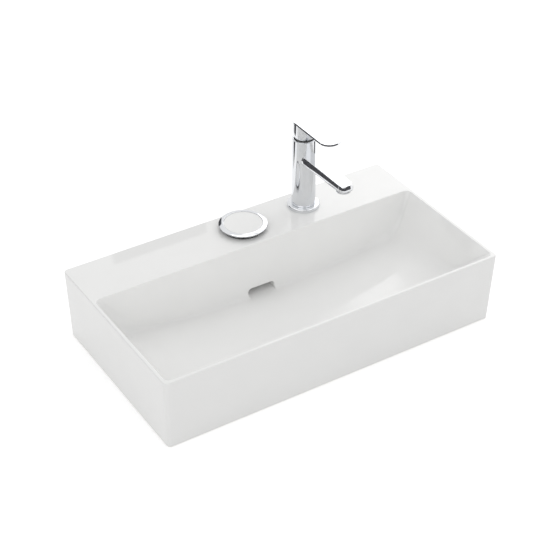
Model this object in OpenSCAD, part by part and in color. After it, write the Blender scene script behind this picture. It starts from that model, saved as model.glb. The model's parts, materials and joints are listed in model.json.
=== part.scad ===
// Rectangular ceramic basin with a rear deck, a concealed waste that doubles as
// the overflow, and a single-lever mixer tap. Millimetres.
// The origin is the middle of the base. X runs along the front, Y to the wall, Z up.

/* [Basin] */
// Overall width of the ceramic
basin_w = 600; // [560:5:700]
// Overall depth, from the front face to the wall
basin_d = 330; // [320:5:380]
// Overall height
basin_h = 125; // [122:1:140]
// Lean of each side face, measured inwards at the base
side_draft = 3.3; // [1:0.1:6]
// Lean of the front face, measured inwards at the base
front_draft = 5; // [1:0.5:8]
// Radius of the upright outer corners
corner_r = 7; // [4:0.5:12]
// Radius of the outer top edges
edge_r = 2; // [1:0.25:3]
// Thickness of the fired clay
clay_t = 9; // [7:0.5:10]
// Width of the rim at the sides and the front
rim_w = 5.5; // [5:0.25:9]
// Depth of the deck behind the bowl
deck_d = 97; // [95:1:110]

/* [Bowl] */
// Depth of the bowl at its outlet
bowl_depth = 96.5; // [90:0.5:97]
// Lean of the side and front walls from upright, in degrees
wall_lean = 20; // [10:1:26]
// Lean of the rear wall from upright, in degrees
rear_lean = 3; // [2:0.5:6]
// How sharply the walls turn into the floor
fold = 4; // [3:0.5:6]
// Rise of the floor from the middle to the side walls
floor_rise_side = 21; // [5:1:30]
// Rise of the floor from the rear wall to the front wall
floor_rise_front = 10; // [2:1:16]
// Radius of the bowl's corners at the rim
bowl_corner_r = 9; // [6:0.5:14]
// Radius of the rim's inner edge
lip_r = 1.8; // [1:0.2:2.4]
// Width of the outlet notch in the rear wall
notch_w = 49; // [40:1:54]
// Height of the outlet notch
notch_h = 13; // [10:0.5:16]
// Radius of the notch's top corners
notch_r = 6; // [3:0.5:8]

/* [Waste] */
// Distance from the wall to the axis of the waste
waste_back = 47; // [46:0.5:50]
// Diameter of the well that holds the standpipe
well_dia = 66; // [64:0.5:68]
// Hole in the floor of the well
waste_hole_dia = 46; // [45:0.5:48]
// Clay under the waste flange
waste_clay_t = 8; // [6:0.5:9]
// Outer diameter of the tail's thread
tail_dia = 41.91; // [41.5:0.01:42.5]
// Bore of the waste
waste_bore_dia = 35; // [32:0.5:36]
// Diameter of the flange
flange_dia = 61; // [56:0.5:62]
// Thickness of the flange
flange_t = 2; // [1.5:0.25:3]
// Thickness of the seal under the flange
upper_seal_t = 1.5; // [1:0.25:2]
// Thickness of the seal under the clay
lower_seal_t = 2; // [1.5:0.25:2.5]
// Height of the back nut
backnut_h = 6.5; // [5:0.25:7]
// Length of the tail below the back nut
tail_l = 6.5; // [5:0.25:60]
// Travel of the cap when it is pressed
press_travel = 4; // [3:0.25:5]
// Distance from the rim down to the top of the standpipe
overflow_drop = 30; // [22:1:40]
// Outer diameter of the standpipe
pipe_dia = 40; // [38:0.5:41]
// Wall of the standpipe
pipe_t = 2; // [1.5:0.25:2.5]
// Diameter of the rod under the cap
rod_dia = 6; // [5:0.5:7]

/* [Cap] */
// Diameter of the chromed ring
cap_dia = 80; // [76:1:86]
// Height of the ring's side
cap_h = 3.3; // [3:0.1:5]
// Width of the ring seen from above
cap_rim_w = 8; // [5:0.25:9]
// Rise of the ring from its edge to the ceramic disc
cap_crown = 1.8; // [0.5:0.1:3]
// Clear space under the pressed ring
cap_rest_gap = 0.9; // [0.7:0.1:1.5]

/* [Tap] */
// Distance from the middle of the basin to the tap
tap_x = 120; // [100:0.5:160]
// Distance from the wall to the tap
tap_back = 42; // [40:0.5:46]
// Tap hole in the deck
tap_hole_dia = 35; // [34:0.5:36]
// Diameter of the tap's body
body_dia = 40; // [38.5:0.5:42]
// Height of the body above the deck
body_h = 129; // [127:1:160]
// Diameter of the ring at the foot
foot_dia = 56; // [50:0.5:58]
// Height of the ring at the foot
foot_h = 6.2; // [4:0.1:8]
// Reach of the spout from the tap's axis to its tip
spout_reach = 129; // [110:1:150]
// Width of the spout
spout_w = 27; // [25.5:0.5:29]
// Height of the spout's flat top above the deck
spout_top = 104; // [90:0.5:105]
// Thickness of the spout at the body
spout_root_t = 15.5; // [14:0.25:18]
// Thickness of the spout at the tip
spout_tip_t = 12.5; // [12:0.25:15]
// Radius of the spout's tip corners, seen from above
spout_tip_r = 10.5; // [8:0.5:12.5]
// Radius of the hollow flanks where the spout meets the body
flank_r = 12; // [8:1:16]
// Outer diameter of the aerator's collar
aerator_dia = 24; // [22:0.5:24]
// Height of the aerator's collar
aerator_h = 2.5; // [1.5:0.25:5]
// Pipe thread for the supply hoses, diameter of the hole
hose_hole_dia = 9; // [8:0.25:9.5]
// Depth of each hose thread
hose_hole_l = 14; // [10:1:18]
// Distance between the two hose holes
hose_pitch = 14.4; // [13:0.2:15]
// Diameter of the mounting stud
stud_dia = 8; // [6:0.5:8]
// Length of the stud below the deck
stud_l = 60; // [45:1:80]

/* [Handle] */
// Diameter of the handle where it meets the body
handle_foot_dia = 31.6; // [31:0.1:32.2]
// Height of the handle's rounded foot
belly_h = 15; // [10:0.5:20]
// Width of the lever
lever_w = 39; // [37:0.5:40]
// Reach of the lever from the tap's axis
lever_reach = 91.5; // [80:0.5:120]
// Thickness of the lever
lever_t = 3.3; // [2.5:0.1:5]
// Height of the lever's top above the body
lever_top = 33.5; // [31:0.5:40]
// Radius of the lever's tip corners
lever_tip_r = 17.5; // [8:0.5:18]
// Height of the lifting pivot above the body's top
pivot_up = 5; // [4.5:0.25:6]

/* [Wall fixing] */
// Distance between the two holes in the rear wall
wall_hole_pitch = 280; // [240:5:300]
// Diameter of each hole
wall_hole_dia = 15; // [12:0.5:18]
// Height of the holes above the base
wall_hole_z = 72; // [60:1:85]

/* [Hidden] */
$fn = 96;

// Small distances
eps = 0.01;
past = 1;
run_gap = 0.05;
part_gap = 0.1;
cut_z = -basin_h;

// Places in the basin
half_w = basin_w / 2;
front_y = -basin_d / 2;
wall_y = basin_d / 2;
bowl_half = half_w - rim_w;
bowl_front = front_y + rim_w;
bowl_rear = wall_y - deck_d;
bowl_len = bowl_rear - bowl_front;
waste_y = wall_y - waste_back;
tap_y = wall_y - tap_back;
bowl_floor_z = basin_h - bowl_depth;
floor_focus = (bowl_rear + bowl_front) / 2 + 20;
foot_edge = 1.2;
boss_proud = 5.4;

// Heights in the waste, from the well's floor down and up
well_floor_z = bowl_floor_z - flange_t - upper_seal_t;
well_r = well_dia / 2;
waste_boss_z = well_floor_z - waste_clay_t;
backnut_top_z = waste_boss_z - lower_seal_t;
thread_top_z = backnut_top_z - backnut_h;
tail_low_z = thread_top_z - tail_l;
thread_sink = 0.3;
nut_zone_r = tail_dia / 2 - thread_sink;
bridge_t = 6;
bridge_w = 3;
click_floor_z = thread_top_z + bridge_t;
click_wall = 2.2;
click_floor_t = 2;
click_h = 18;
click_r = 7.5;
click_stub_r = 4;
click_top_z = click_floor_z + click_h;
plunger_r = 3.5;
collar_r = click_r - click_wall - run_gap;
collar_t = 3;
collar_top_z = click_top_z - click_floor_t - part_gap;
spring_wire_r = 0.35;
spring_low_z = click_floor_z + click_floor_t + spring_wire_r + run_gap;
spring_high_z = collar_top_z - collar_t - spring_wire_r - run_gap;
plug_gap = 0.2;
plug_low_z = bowl_floor_z + press_travel + plug_gap;
plug_seal_t = 2.2;
pipe_low_z = plug_low_z + plug_seal_t;
pipe_top_z = basin_h - overflow_drop;
hub_low_z = click_top_z + press_travel + 1;
hub_r = 6.5;
hub_h = 13;
plunger_in_hub = 6;
web_t = 2;
web_up = 6;
rod_low_z = hub_low_z + plunger_in_hub + 1;

// Heights in the cap
cap_r = cap_dia / 2;
cap_low_z = basin_h + press_travel + cap_rest_gap;
cap_tray_t = 1.3;
cap_edge_r = 1.2;
cap_top = cap_h + cap_crown;
cap_insert_r = cap_r - cap_rim_w;
cap_joint = 0.2;
insert_edge_r = 0.8;
cap_boss_h = 12;
cap_boss_r = 8;
cap_skin = 0.2;
bumper_in_r = well_r + 1.4;
bumper_out_r = bumper_in_r + 2.6;
bumper_sink = 0.6;
bumper_proud = 0.4;

// Heights in the tap, all above the deck's top face
deck_z = basin_h;
body_r = body_dia / 2;
foot_r = foot_dia / 2;
body_top_z = deck_z + body_h;
pivot_z = body_top_z + pivot_up;
body_edge = 0.6;
spigot_gap = 0.3;
spigot_r = tap_hole_dia / 2 - spigot_gap;
spigot_drop = 3;
inlet_mouth_z = deck_z - spigot_drop;
base_edge_r = 1;
base_seal_t = 1.1;
pad_t = 3;
pad_r = 26;
pad_z = deck_z - clay_t - pad_t;
washer_t = 3;
plate_t = 2;
plate_z = pad_z - washer_t - plate_t;
horseshoe_half = 13;
stud_y = 9.5;
stud_nut_h = 6.5;
stud_nut_wide = 1.88;
hose_y = -3;
hose_room = 7;

// Spout and aerator
spout_half = spout_w / 2;
spout_slope = (spout_root_t - spout_tip_t) / spout_reach;
spout_edge_r = 1.6;
spout_under_r = 4;
channel_drop = 7.4;
channel_z = deck_z + spout_top - channel_drop;
channel_r = 2.6;
channel_wide_r = 3.2;
channel_wide_y = -8;
outlet_inset = 14.5;
outlet_y = outlet_inset - spout_reach;
aerator_r = aerator_dia / 2;
aerator_thread_r = aerator_r - 1.5;
aerator_wall = 1.8;
aerator_seat_z = deck_z + spout_top - spout_root_t - outlet_y * spout_slope;
aerator_room_z = deck_z + spout_top - 4;
aerator_low_z = aerator_seat_z - aerator_h;
aerator_top_z = aerator_seat_z + 5.5;
grid_bar = 0.9;
grid_step = 3;
grid_t = 1.8;

// Cartridge, counted down from the lifting pivot
ball_drop = 13;
ball_r = 2.5;
ball_z = pivot_z - ball_drop;
stack_gap = 0.1;
ball_proud = 1.3;
carrier_top_z = ball_z + ball_proud;
carrier_h = 5.2;
moving_top_z = carrier_top_z - carrier_h - stack_gap;
moving_h = 3;
fixed_top_z = moving_top_z - moving_h - stack_gap;
fixed_h = 3;
base_top_z = fixed_top_z - fixed_h;
base_h = 7.2;
seal_proud = 0.5;
seal_wall = 0.7;
seat_z = base_top_z - base_h - seal_proud;
slider_r = 8.7;
slider_cut_h = 1.6;
slider_cut_half = 6.2;
slider_cut_over = 2.4;
slider_cut_r = 2.2;
cart_r = 14;
cart_in_r = 12.9;
housing_t = 1;
collar_up_z = carrier_top_z + 1.2;
neck_out_r = 12.4;
neck_in_r = 11.4;
turn_gap = 0.2;
rotor_low_z = carrier_top_z + 0.5;
rotor_flange_h = 2.6;
rotor_flange_r = neck_in_r - turn_gap;
rotor_neck_r = 7.9;
rotor_top_z = pivot_z + 4.5;
neck_top_z = rotor_low_z + rotor_flange_h + 1.9;
thread_r = 15.6;
nut_low_z = collar_up_z - 8;
nut_top_z = collar_up_z + 1.1;
recess_z = body_top_z - 7;
recess_r = handle_foot_dia / 2 + 1.3;
port_x = 5.3;
port_y = -2.8;
port_r = 2.3;
mixed_y = 5.2;
pin_r = 1.2;
pin_half = rotor_neck_r - 0.4;
stem_half_x = 2.9;
stem_half_y = 3;
stem_neck_r = 1.7;
stem_neck_h = 6;
stem_top_z = pivot_z + 20;
slot_half_y = 6.4;

// Handle
handle_low_z = body_top_z + 1;
handle_foot_r = handle_foot_dia / 2;
handle_in_r = handle_foot_r - 1.3;
handle_cave_z = pivot_z + 9;
lever_top_z = body_top_z + lever_top;
lever_low_z = lever_top_z - lever_t;
lever_half = lever_w / 2;
handle_r = lever_half - 0.3;
belly_z = handle_low_z + belly_h;
belly_in = handle_r - handle_foot_r;
belly_r = (pow(belly_h, 2) + pow(belly_in, 2)) / (2 * belly_in);
screw_z = handle_cave_z + 5;
screw_r = 2;
screw_l = 7;
screw_y = stem_half_y + run_gap;
index_r = 2.9;
index_t = 1.6;
index_y = handle_r - index_t - 0.4;

// Facets of the lofted and hulled shapes
arc_steps = 6;
edge_steps = 6;
side_steps = 4;
bowl_levels = 13;
skin_arc_steps = 3;
skin_edge_steps = 4;
skin_side_steps = 2;
skin_levels = 7;
deepest = 0.9985;

// Bowl: how far in from the rim a leaning wall has reached at a share of its depth
function wall_run(share, lean, extra) =
    tan(lean) * (bowl_depth + extra) * pow(pow(max(share, 0.001), -fold) - 1, -1 / fold);

// Bowl: depth of the floor under one point
function floor_depth(x, y, extra) =
    bowl_depth + extra - floor_rise_side * pow(x / bowl_half, 2)
    - floor_rise_front * (bowl_rear - y) / bowl_len;

// Quarter of an ellipse, from one angle on
function quarter(cx, cy, rx, ry, from, steps) =
    [for (i = [0:steps]) [cx + rx * cos(from + 90 * i / steps), cy + ry * sin(from + 90 * i / steps)]];

// Points between two ends, without the ends
function between(a, b, steps) = [for (i = [1:steps - 1]) a + (b - a) * i / steps];

// Rectangle with elliptic corners, going round from the right
function soft_rect(hx, y0, y1, rx, r0, r1, na, ne, ns) = concat(
    quarter(hx - rx, y1 - r1, rx, r1, 0, na),
    between([hx - rx, y1], [rx - hx, y1], ne),
    quarter(rx - hx, y1 - r1, rx, r1, 90, na),
    between([-hx, y1 - r1], [-hx, y0 + r0], ns),
    quarter(rx - hx, y0 + r0, rx, r0, 180, na),
    between([rx - hx, y0], [hx - rx, y0], ne),
    quarter(hx - rx, y0 + r0, rx, r0, 270, na),
    between([hx, y0 + r0], [hx, y1 - r1], ns));

// Plan of the bowl at a share of its depth, flared outwards by `flare`
function bowl_plan(share, flare, extra, na, ne, ns) =
    let (side = wall_run(share, wall_lean, extra) - flare - extra / cos(wall_lean))
    let (back = wall_run(share, rear_lean, extra) - flare - extra / cos(rear_lean))
    let (hx = bowl_half - side)
    let (y0 = bowl_front + side)
    let (y1 = bowl_rear - back)
    let (most = 0.48 * (y1 - y0))
    let (base_r = bowl_corner_r + extra + flare)
    soft_rect(hx, y0, y1, min(base_r + max(side, 0), 0.8 * hx),
              min(base_r + max(side, 0), most), min(base_r + max(back, 0), most), na, ne, ns);

// The same plan raised onto the bowl's surface; `turn` rolls it over the rim
function bowl_ring(share, turn, extra, na, ne, ns) =
    [for (p = bowl_plan(share, lip_r * (1 - cos(turn)) * (extra > 0 ? 0 : 1), extra, na, ne, ns))
        [p[0], p[1], basin_h - share * floor_depth(p[0], p[1], extra) * (1 - sin(turn))]];

// The deepest ring drawn together towards the outlet
function floor_ring(keep, extra, na, ne, ns) =
    [for (p = bowl_plan(deepest, 0, extra, na, ne, ns))
        let (x = p[0] * keep)
        let (y = floor_focus + (p[1] - floor_focus) * keep)
        [x, y, basin_h - deepest * floor_depth(x, y, extra)]];

// Share of the depth at one level, closer together near the floor
function level_share(i, levels) = deepest * (1 - pow(1 - i / levels, 2.3));

// A stack of rings the other way up
function upward(rings) = [for (i = [len(rings) - 1:-1:0]) rings[i]];

// Middle of a ring of points
function middle(ring) = [for (axis = [0:2]) sum([for (p = ring) p[axis]]) / len(ring)];

function sum(list, i = 0) = i < len(list) ? list[i] + sum(list, i + 1) : 0;

// Closed solid through rings with the same number of points, stacked upwards
module loft(rings) {
    n = len(rings[0]);
    m = len(rings);
    last = (m - 1) * n;
    low_mid = m * n;
    top_mid = low_mid + 1;
    polyhedron(
        points = concat([for (r = rings) each r], [middle(rings[0]), middle(rings[m - 1])]),
        faces = concat(
            [for (i = [0:n - 1]) [low_mid, i, (i + 1) % n]],
            [for (k = [0:m - 2], i = [0:n - 1]) [k * n + i, (k + 1) * n + i, (k + 1) * n + (i + 1) % n]],
            [for (k = [0:m - 2], i = [0:n - 1]) [k * n + i, (k + 1) * n + (i + 1) % n, k * n + (i + 1) % n]],
            [for (i = [0:n - 1]) [top_mid, last + (i + 1) % n, last + i]]));
}

// Rectangle with round corners, exact arcs
module round_rect(x0, x1, y0, y1, r) {
    translate([x0 + r, y0]) square([x1 - x0 - 2 * r, y1 - y0]);
    translate([x0, y0 + r]) square([x1 - x0, y1 - y0 - 2 * r]);
    for (x = [x0 + r, x1 - r], y = [y0 + r, y1 - r]) translate([x, y]) circle(r);
}

module ring(r_out, r_in, z0, z1) {
    translate([0, 0, z0]) difference() {
        cylinder(r = r_out, h = z1 - z0);
        translate([0, 0, -past]) cylinder(r = r_in, h = z1 - z0 + 2 * past);
    }
}

module rod(r, z0, z1) translate([0, 0, z0]) cylinder(r = r, h = z1 - z0);

// A rod along Y, from y0 to y1 at height z
module rod_y(r, y0, y1, z) translate([0, y1, z]) rotate([90, 0, 0]) cylinder(r = r, h = y1 - y0);

module at_waste() translate([0, waste_y, 0]) children();

module at_tap() translate([tap_x, tap_y, 0]) children();

// Outer block of the basin: drafted faces, soft corners and edges
module basin_block() {
    steps = 3;
    slab = 0.02;
    levels = concat(
        [[0, foot_edge], [foot_edge, 0]],
        [for (i = [0:steps]) [basin_h - edge_r + edge_r * sin(90 * i / steps) - slab,
                              edge_r * (1 - cos(90 * i / steps))]]);
    hull() for (level = levels) {
        up = level[0];
        lean = max(0, 1 - (up + slab) / (basin_h - edge_r));
        x = half_w - side_draft * lean - corner_r;
        y0 = front_y + front_draft * lean + corner_r;
        y1 = wall_y - corner_r;
        for (px = [-x, x], py = [y0, y1])
            translate([px, py, up]) cylinder(r = corner_r - level[1], h = slab, $fn = 32);
    }
}

// Space inside the skirt, open at the bottom
module basin_hollow() {
    x = half_w - side_draft - clay_t;
    translate([0, 0, -past]) linear_extrude(basin_h - clay_t + past)
        round_rect(-x, x, front_y + front_draft + clay_t, wall_y - clay_t, corner_r);
}

module bowl_cavity() {
    first = lip_r / bowl_depth;
    loft(upward(concat(
        [[for (p = bowl_ring(first, 90, 0, arc_steps, edge_steps, side_steps)) p + [0, 0, past]]],
        [for (t = [90:-30:30]) bowl_ring(first, t, 0, arc_steps, edge_steps, side_steps)],
        [for (i = [1:bowl_levels])
            bowl_ring(max(level_share(i - 0.8, bowl_levels - 0.8), first), 0, 0,
                      arc_steps, edge_steps, side_steps)],
        [for (keep = [0.7, 0.4, 0.12]) floor_ring(keep, 0, arc_steps, edge_steps, side_steps)])));
}

// The bowl's underside, one clay thickness away from its surface
module bowl_skin() {
    loft(upward(concat(
        [for (i = [0:skin_levels]) bowl_ring(level_share(i, skin_levels), 0, clay_t,
                                             skin_arc_steps, skin_edge_steps, skin_side_steps)],
        [for (keep = [0.5, 0.12]) floor_ring(keep, clay_t,
                                             skin_arc_steps, skin_edge_steps, skin_side_steps)])));
}

// Clay round the well and between the well and the bowl
module well_block() {
    under_deck = basin_h - clay_t + eps;
    at_waste() rod(well_r + clay_t, waste_boss_z, under_deck);
    translate([-well_r, bowl_rear - eps, waste_boss_z])
        cube([2 * well_r, waste_back + clay_t, under_deck - waste_boss_z]);
}

// Outlet notch, with round top corners, from the bowl into the well
module notch() {
    side = notch_w / 2;
    mouth_y = bowl_rear - 2 * clay_t;
    low_z = basin_h - deepest * floor_depth(0, mouth_y, 0);
    translate([0, waste_y, low_z]) rotate([90, 0, 0])
        linear_extrude(waste_y - mouth_y) union() {
            translate([-side, 0]) square([notch_w, notch_h - notch_r]);
            translate([notch_r - side, 0]) square([notch_w - 2 * notch_r, notch_h]);
            for (s = [-1, 1]) translate([s * (side - notch_r), notch_h - notch_r]) circle(notch_r);
        }
}

module basin() color("white") difference() {
    wall_in_y = wall_y - clay_t;
    union() {
        difference() {
            basin_block();
            basin_hollow();
        }
        intersection() {
            basin_block();
            bowl_skin();
        }
        well_block();
        at_tap() rod(pad_r, pad_z, deck_z - clay_t + eps);
        for (s = [-1, 1]) translate([s * wall_hole_pitch / 2, 0, 0])
            rod_y(wall_hole_dia / 2 + clay_t, wall_in_y - boss_proud, wall_in_y + eps, wall_hole_z);
    }
    bowl_cavity();
    notch();
    at_waste() rod(well_r, well_floor_z, basin_h + past);
    at_waste() rod(waste_hole_dia / 2, cut_z, basin_h);
    at_tap() rod(tap_hole_dia / 2, cut_z, basin_h + past);
    for (s = [-1, 1]) translate([s * wall_hole_pitch / 2, 0, 0])
        rod_y(wall_hole_dia / 2, wall_in_y - boss_proud - past, wall_y + past, wall_hole_z);
}

module waste_body() color("silver") at_waste() {
    flange_low = bowl_floor_z - flange_t;
    difference() {
        union() {
            rod(flange_dia / 2, flange_low, bowl_floor_z);
            rod(nut_zone_r, thread_top_z, flange_low + eps);
            rod(tail_dia / 2, tail_low_z, thread_top_z);
        }
        rod(waste_bore_dia / 2, cut_z, basin_h);
    }
    difference() {
        union() {
            rod(click_r, thread_top_z, click_floor_z);
            intersection() {
                rod(waste_bore_dia / 2 + eps, thread_top_z, click_floor_z);
                for (a = [0, 60, 120]) rotate(a) translate([-tail_dia / 2, -bridge_w / 2, thread_top_z])
                    cube([tail_dia, bridge_w, bridge_t]);
            }
        }
        rod(click_stub_r + run_gap, cut_z, basin_h);
    }
}

module waste_upper_seal() color("dimgray") at_waste()
    ring(flange_dia / 2 - past, waste_hole_dia / 2 + past, well_floor_z, well_floor_z + upper_seal_t);

module waste_lower_seal() color("dimgray") at_waste()
    ring(flange_dia / 2, tail_dia / 2 + run_gap, backnut_top_z, waste_boss_z);

module waste_backnut() color("silver") at_waste() difference() {
    translate([0, 0, thread_top_z]) cylinder(r = flange_dia / 2 + 1, h = backnut_h, $fn = 8);
    rod(nut_zone_r + run_gap, cut_z, basin_h);
}

module click_housing() color("tan") at_waste() {
    top_lip_z = click_top_z - click_floor_t;
    difference() {
        union() {
            rod(click_r, click_floor_z, click_top_z);
            rod(click_stub_r, thread_top_z, click_floor_z + eps);
        }
        rod(click_r - click_wall, click_floor_z + click_floor_t, top_lip_z);
        rod(plunger_r + run_gap, click_floor_z + click_floor_t, click_top_z + past);
    }
}

module click_plunger() color("tan") at_waste() {
    plunger_low_z = click_floor_z + click_floor_t + press_travel + plug_gap;
    rod(plunger_r, plunger_low_z, hub_low_z + plunger_in_hub);
    rod(collar_r, collar_top_z - collar_t, collar_top_z);
}

// Round wire wound as a helix
module click_spring() color("gainsboro") at_waste() {
    turns = 5;
    steps = 12;
    sides = 6;
    coil_r = (plunger_r + click_r - click_wall) / 2;
    climb = (spring_high_z - spring_low_z) / (turns * steps);
    loft([for (k = [0:turns * steps])
        let (a = 360 * k / steps)
        [for (j = [0:sides - 1])
            let (u = coil_r + spring_wire_r * cos(-360 * j / sides))
            [u * cos(a), u * sin(a),
             spring_low_z + climb * k + spring_wire_r * sin(-360 * j / sides)]]]);
}

module standpipe() color("whitesmoke") at_waste() {
    ring(pipe_dia / 2, pipe_dia / 2 - pipe_t, pipe_low_z, pipe_top_z);
    difference() {
        union() {
            rod(hub_r, hub_low_z, hub_low_z + hub_h);
            intersection() {
                rod(pipe_dia / 2 - pipe_t + eps, hub_low_z + web_up, hub_low_z + hub_h);
                for (a = [30, 90, 150]) rotate(a) translate([-pipe_dia / 2, -web_t / 2, hub_low_z])
                    cube([pipe_dia, web_t, hub_h]);
            }
        }
        rod(plunger_r + run_gap, cut_z, hub_low_z + plunger_in_hub + run_gap);
        rod(rod_dia / 2 + run_gap, rod_low_z, basin_h);
    }
}

module plug_seal() color("dimgray") at_waste()
    ring(pipe_dia / 2 + 0.5, waste_bore_dia / 2 - 1, plug_low_z, pipe_low_z);

module stem_rod() color("silver") at_waste()
    rod(rod_dia / 2, rod_low_z + plug_gap, cap_low_z + cap_tray_t - cap_skin - part_gap);

// Ring that rises in a low crown to the ceramic disc, with a boss for the rod
module cap_ring() color("silver") at_waste() translate([0, 0, cap_low_z]) difference() {
    union() {
        rotate_extrude() difference() {
            union() {
                square([cap_r - cap_edge_r, cap_h]);
                square([cap_r, cap_h - cap_edge_r]);
                translate([cap_r - cap_edge_r, cap_h - cap_edge_r]) circle(cap_edge_r);
                polygon([[0, cap_h - eps], [cap_r - cap_edge_r, cap_h - eps],
                         [cap_insert_r + cap_joint, cap_top], [0, cap_top]]);
            }
            translate([-past, cap_tray_t]) square([cap_insert_r + cap_joint + past, cap_top]);
        }
        rod(cap_boss_r, -cap_boss_h, eps);
    }
    rod(rod_dia / 2 + run_gap, -cap_boss_h - past, cap_tray_t - cap_skin);
    ring(bumper_out_r + part_gap, bumper_in_r - part_gap, -past, bumper_sink);
}

module cap_insert() color("white") at_waste() translate([0, 0, cap_low_z + cap_tray_t + part_gap]) {
    insert_t = cap_top - cap_tray_t - part_gap;
    rotate_extrude() union() {
        square([cap_insert_r - insert_edge_r, insert_t]);
        square([cap_insert_r, insert_t - insert_edge_r]);
        translate([cap_insert_r - insert_edge_r, insert_t - insert_edge_r]) circle(insert_edge_r);
    }
}

// Rubber ring under the cap that meets the deck when the cap is pushed too far
module cap_seal() color("dimgray") at_waste()
    ring(bumper_out_r, bumper_in_r, cap_low_z - bumper_proud, cap_low_z + bumper_sink - run_gap);

// Flat bar with soft edges and round tip corners; the underside rises to the tip
module spout_bar() {
    slab = 0.02;
    steps = 3;
    root_y = -spout_tip_r;
    tip_y = spout_tip_r - spout_reach;
    hull() for (y = [root_y, tip_y], s = [-1, 1], i = [0:steps]) {
        turn = 90 * i / steps;
        foremost_y = y - spout_tip_r + spout_under_r;
        low = spout_top - spout_root_t - foremost_y * spout_slope;
        translate([s * (spout_half - spout_tip_r), y, 0]) {
            translate([0, 0, spout_top - slab - spout_edge_r * (1 - cos(turn))])
                cylinder(r = spout_tip_r - spout_edge_r * (1 - sin(turn)), h = slab, $fn = 32);
            translate([0, 0, low + spout_under_r * (1 - cos(turn))])
                cylinder(r = spout_tip_r - spout_under_r * (1 - sin(turn)), h = slab, $fn = 32);
        }
    }
}

// Hollow flanks that carry the bar's sides into the body
module spout_flanks() {
    turn_x = spout_half + flank_r;
    turn_y = -sqrt(pow(body_r + flank_r, 2) - pow(turn_x, 2));
    top_in = 1.2;
    under_in = 3;
    sink = 0.05;
    low = spout_top - spout_root_t - turn_y * spout_slope + under_in;
    translate([0, 0, low]) linear_extrude(spout_top - top_in - low) difference() {
        polygon([[-turn_x, turn_y], [turn_x, turn_y], [0, 0]]);
        for (s = [-1, 1]) translate([s * turn_x, turn_y]) circle(flank_r + sink);
    }
}

module tap_body() color("silver") at_tap() difference() {
    union() {
        rod(body_r, deck_z + foot_h, body_top_z - body_edge);
        translate([0, 0, body_top_z - body_edge])
            cylinder(r1 = body_r, r2 = body_r - body_edge, h = body_edge);
        rod(spigot_r, inlet_mouth_z, deck_z + foot_h + eps);
        translate([0, 0, deck_z]) spout_bar();
        translate([0, 0, deck_z]) spout_flanks();
    }
    rod(recess_r, recess_z, body_top_z + past);
    rod(thread_r, nut_low_z, recess_z + past);
    rod(cart_r + run_gap, seat_z, nut_low_z + past);
    for (s = [-1, 1]) {
        translate([s * port_x, port_y, 0]) rod(port_r, inlet_mouth_z, seat_z + past);
        translate([s * hose_pitch / 2, hose_y, 0])
            rod(hose_hole_dia / 2, inlet_mouth_z - past, inlet_mouth_z + hose_hole_l);
    }
    translate([0, stud_y, 0]) rod(stud_dia / 2 + run_gap, inlet_mouth_z - past, inlet_mouth_z + hose_hole_l);
    translate([0, mixed_y, 0]) rod(channel_r, channel_z, seat_z + past);
    rod_y(channel_r, -body_r, mixed_y, channel_z);
    rod_y(channel_wide_r, outlet_y, channel_wide_y, channel_z);
    translate([0, outlet_y, 0]) rod(aerator_thread_r, deck_z, aerator_room_z);
}

module base_ring() color("silver") at_tap() translate([0, 0, deck_z]) difference() {
    in_r = spigot_r + run_gap;
    rotate_extrude() union() {
        translate([in_r, part_gap]) square([foot_r - in_r, foot_h - base_edge_r - 2 * part_gap]);
        translate([in_r, part_gap]) square([foot_r - base_edge_r - in_r, foot_h - 2 * part_gap]);
        translate([foot_r - base_edge_r, foot_h - base_edge_r - part_gap]) circle(base_edge_r);
    }
    rod(foot_r - base_edge_r - part_gap, -past, base_seal_t + part_gap);
}

module base_seal() color("dimgray") at_tap()
    ring(foot_r - base_edge_r - 2 * part_gap, spigot_r + spigot_gap, deck_z, deck_z + base_seal_t);

module mounting_stud() color("silver") at_tap() translate([0, stud_y, 0])
    rod(stud_dia / 2, deck_z - stud_l, inlet_mouth_z + hose_hole_l - seal_proud);

// Plate like a horseshoe, open towards the front for the hoses
module horseshoe(z0, z1) {
    difference() {
        rod(pad_r - 2 * past, z0, z1);
        translate([-horseshoe_half, -2 * pad_r, z0 - past])
            cube([2 * horseshoe_half, 2 * pad_r + hose_y + hose_room, z1 - z0 + 2 * past]);
        translate([0, stud_y, 0]) rod(stud_dia / 2 + spigot_gap, 0, deck_z);
    }
}

module rubber_washer() color("dimgray") at_tap() horseshoe(pad_z - washer_t, pad_z);

module clamp_plate() color("gray") at_tap() horseshoe(plate_z, plate_z + plate_t);

module stud_nut() color("goldenrod") at_tap() translate([0, stud_y, 0]) difference() {
    translate([0, 0, plate_z - stud_nut_h]) cylinder(d = stud_dia * stud_nut_wide, h = stud_nut_h, $fn = 6);
    rod(stud_dia / 2 + run_gap, 0, deck_z);
}

module at_outlet() at_tap() translate([0, outlet_y, 0]) children();

module aerator_housing() color("silver") at_outlet() difference() {
    union() {
        rod(aerator_r, aerator_low_z, aerator_seat_z - aerator_r * spout_slope - part_gap);
        rod(aerator_thread_r - run_gap, aerator_low_z + past, aerator_top_z);
    }
    rod(aerator_thread_r - aerator_wall, aerator_low_z - past, aerator_top_z + past);
}

module aerator_insert() color("whitesmoke") at_outlet() {
    mesh_r = aerator_thread_r - aerator_wall - run_gap;
    low = aerator_low_z + 0.6;
    count = floor(mesh_r / grid_step);
    ring(mesh_r, mesh_r - grid_bar, low, aerator_top_z);
    intersection() {
        rod(mesh_r - eps, low, low + grid_t);
        for (i = [-count:count]) {
            translate([i * grid_step - grid_bar / 2, -mesh_r, low]) cube([grid_bar, 2 * mesh_r, grid_t]);
            translate([-mesh_r, i * grid_step - grid_bar / 2, low]) cube([2 * mesh_r, grid_bar, grid_t]);
        }
    }
}

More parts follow.
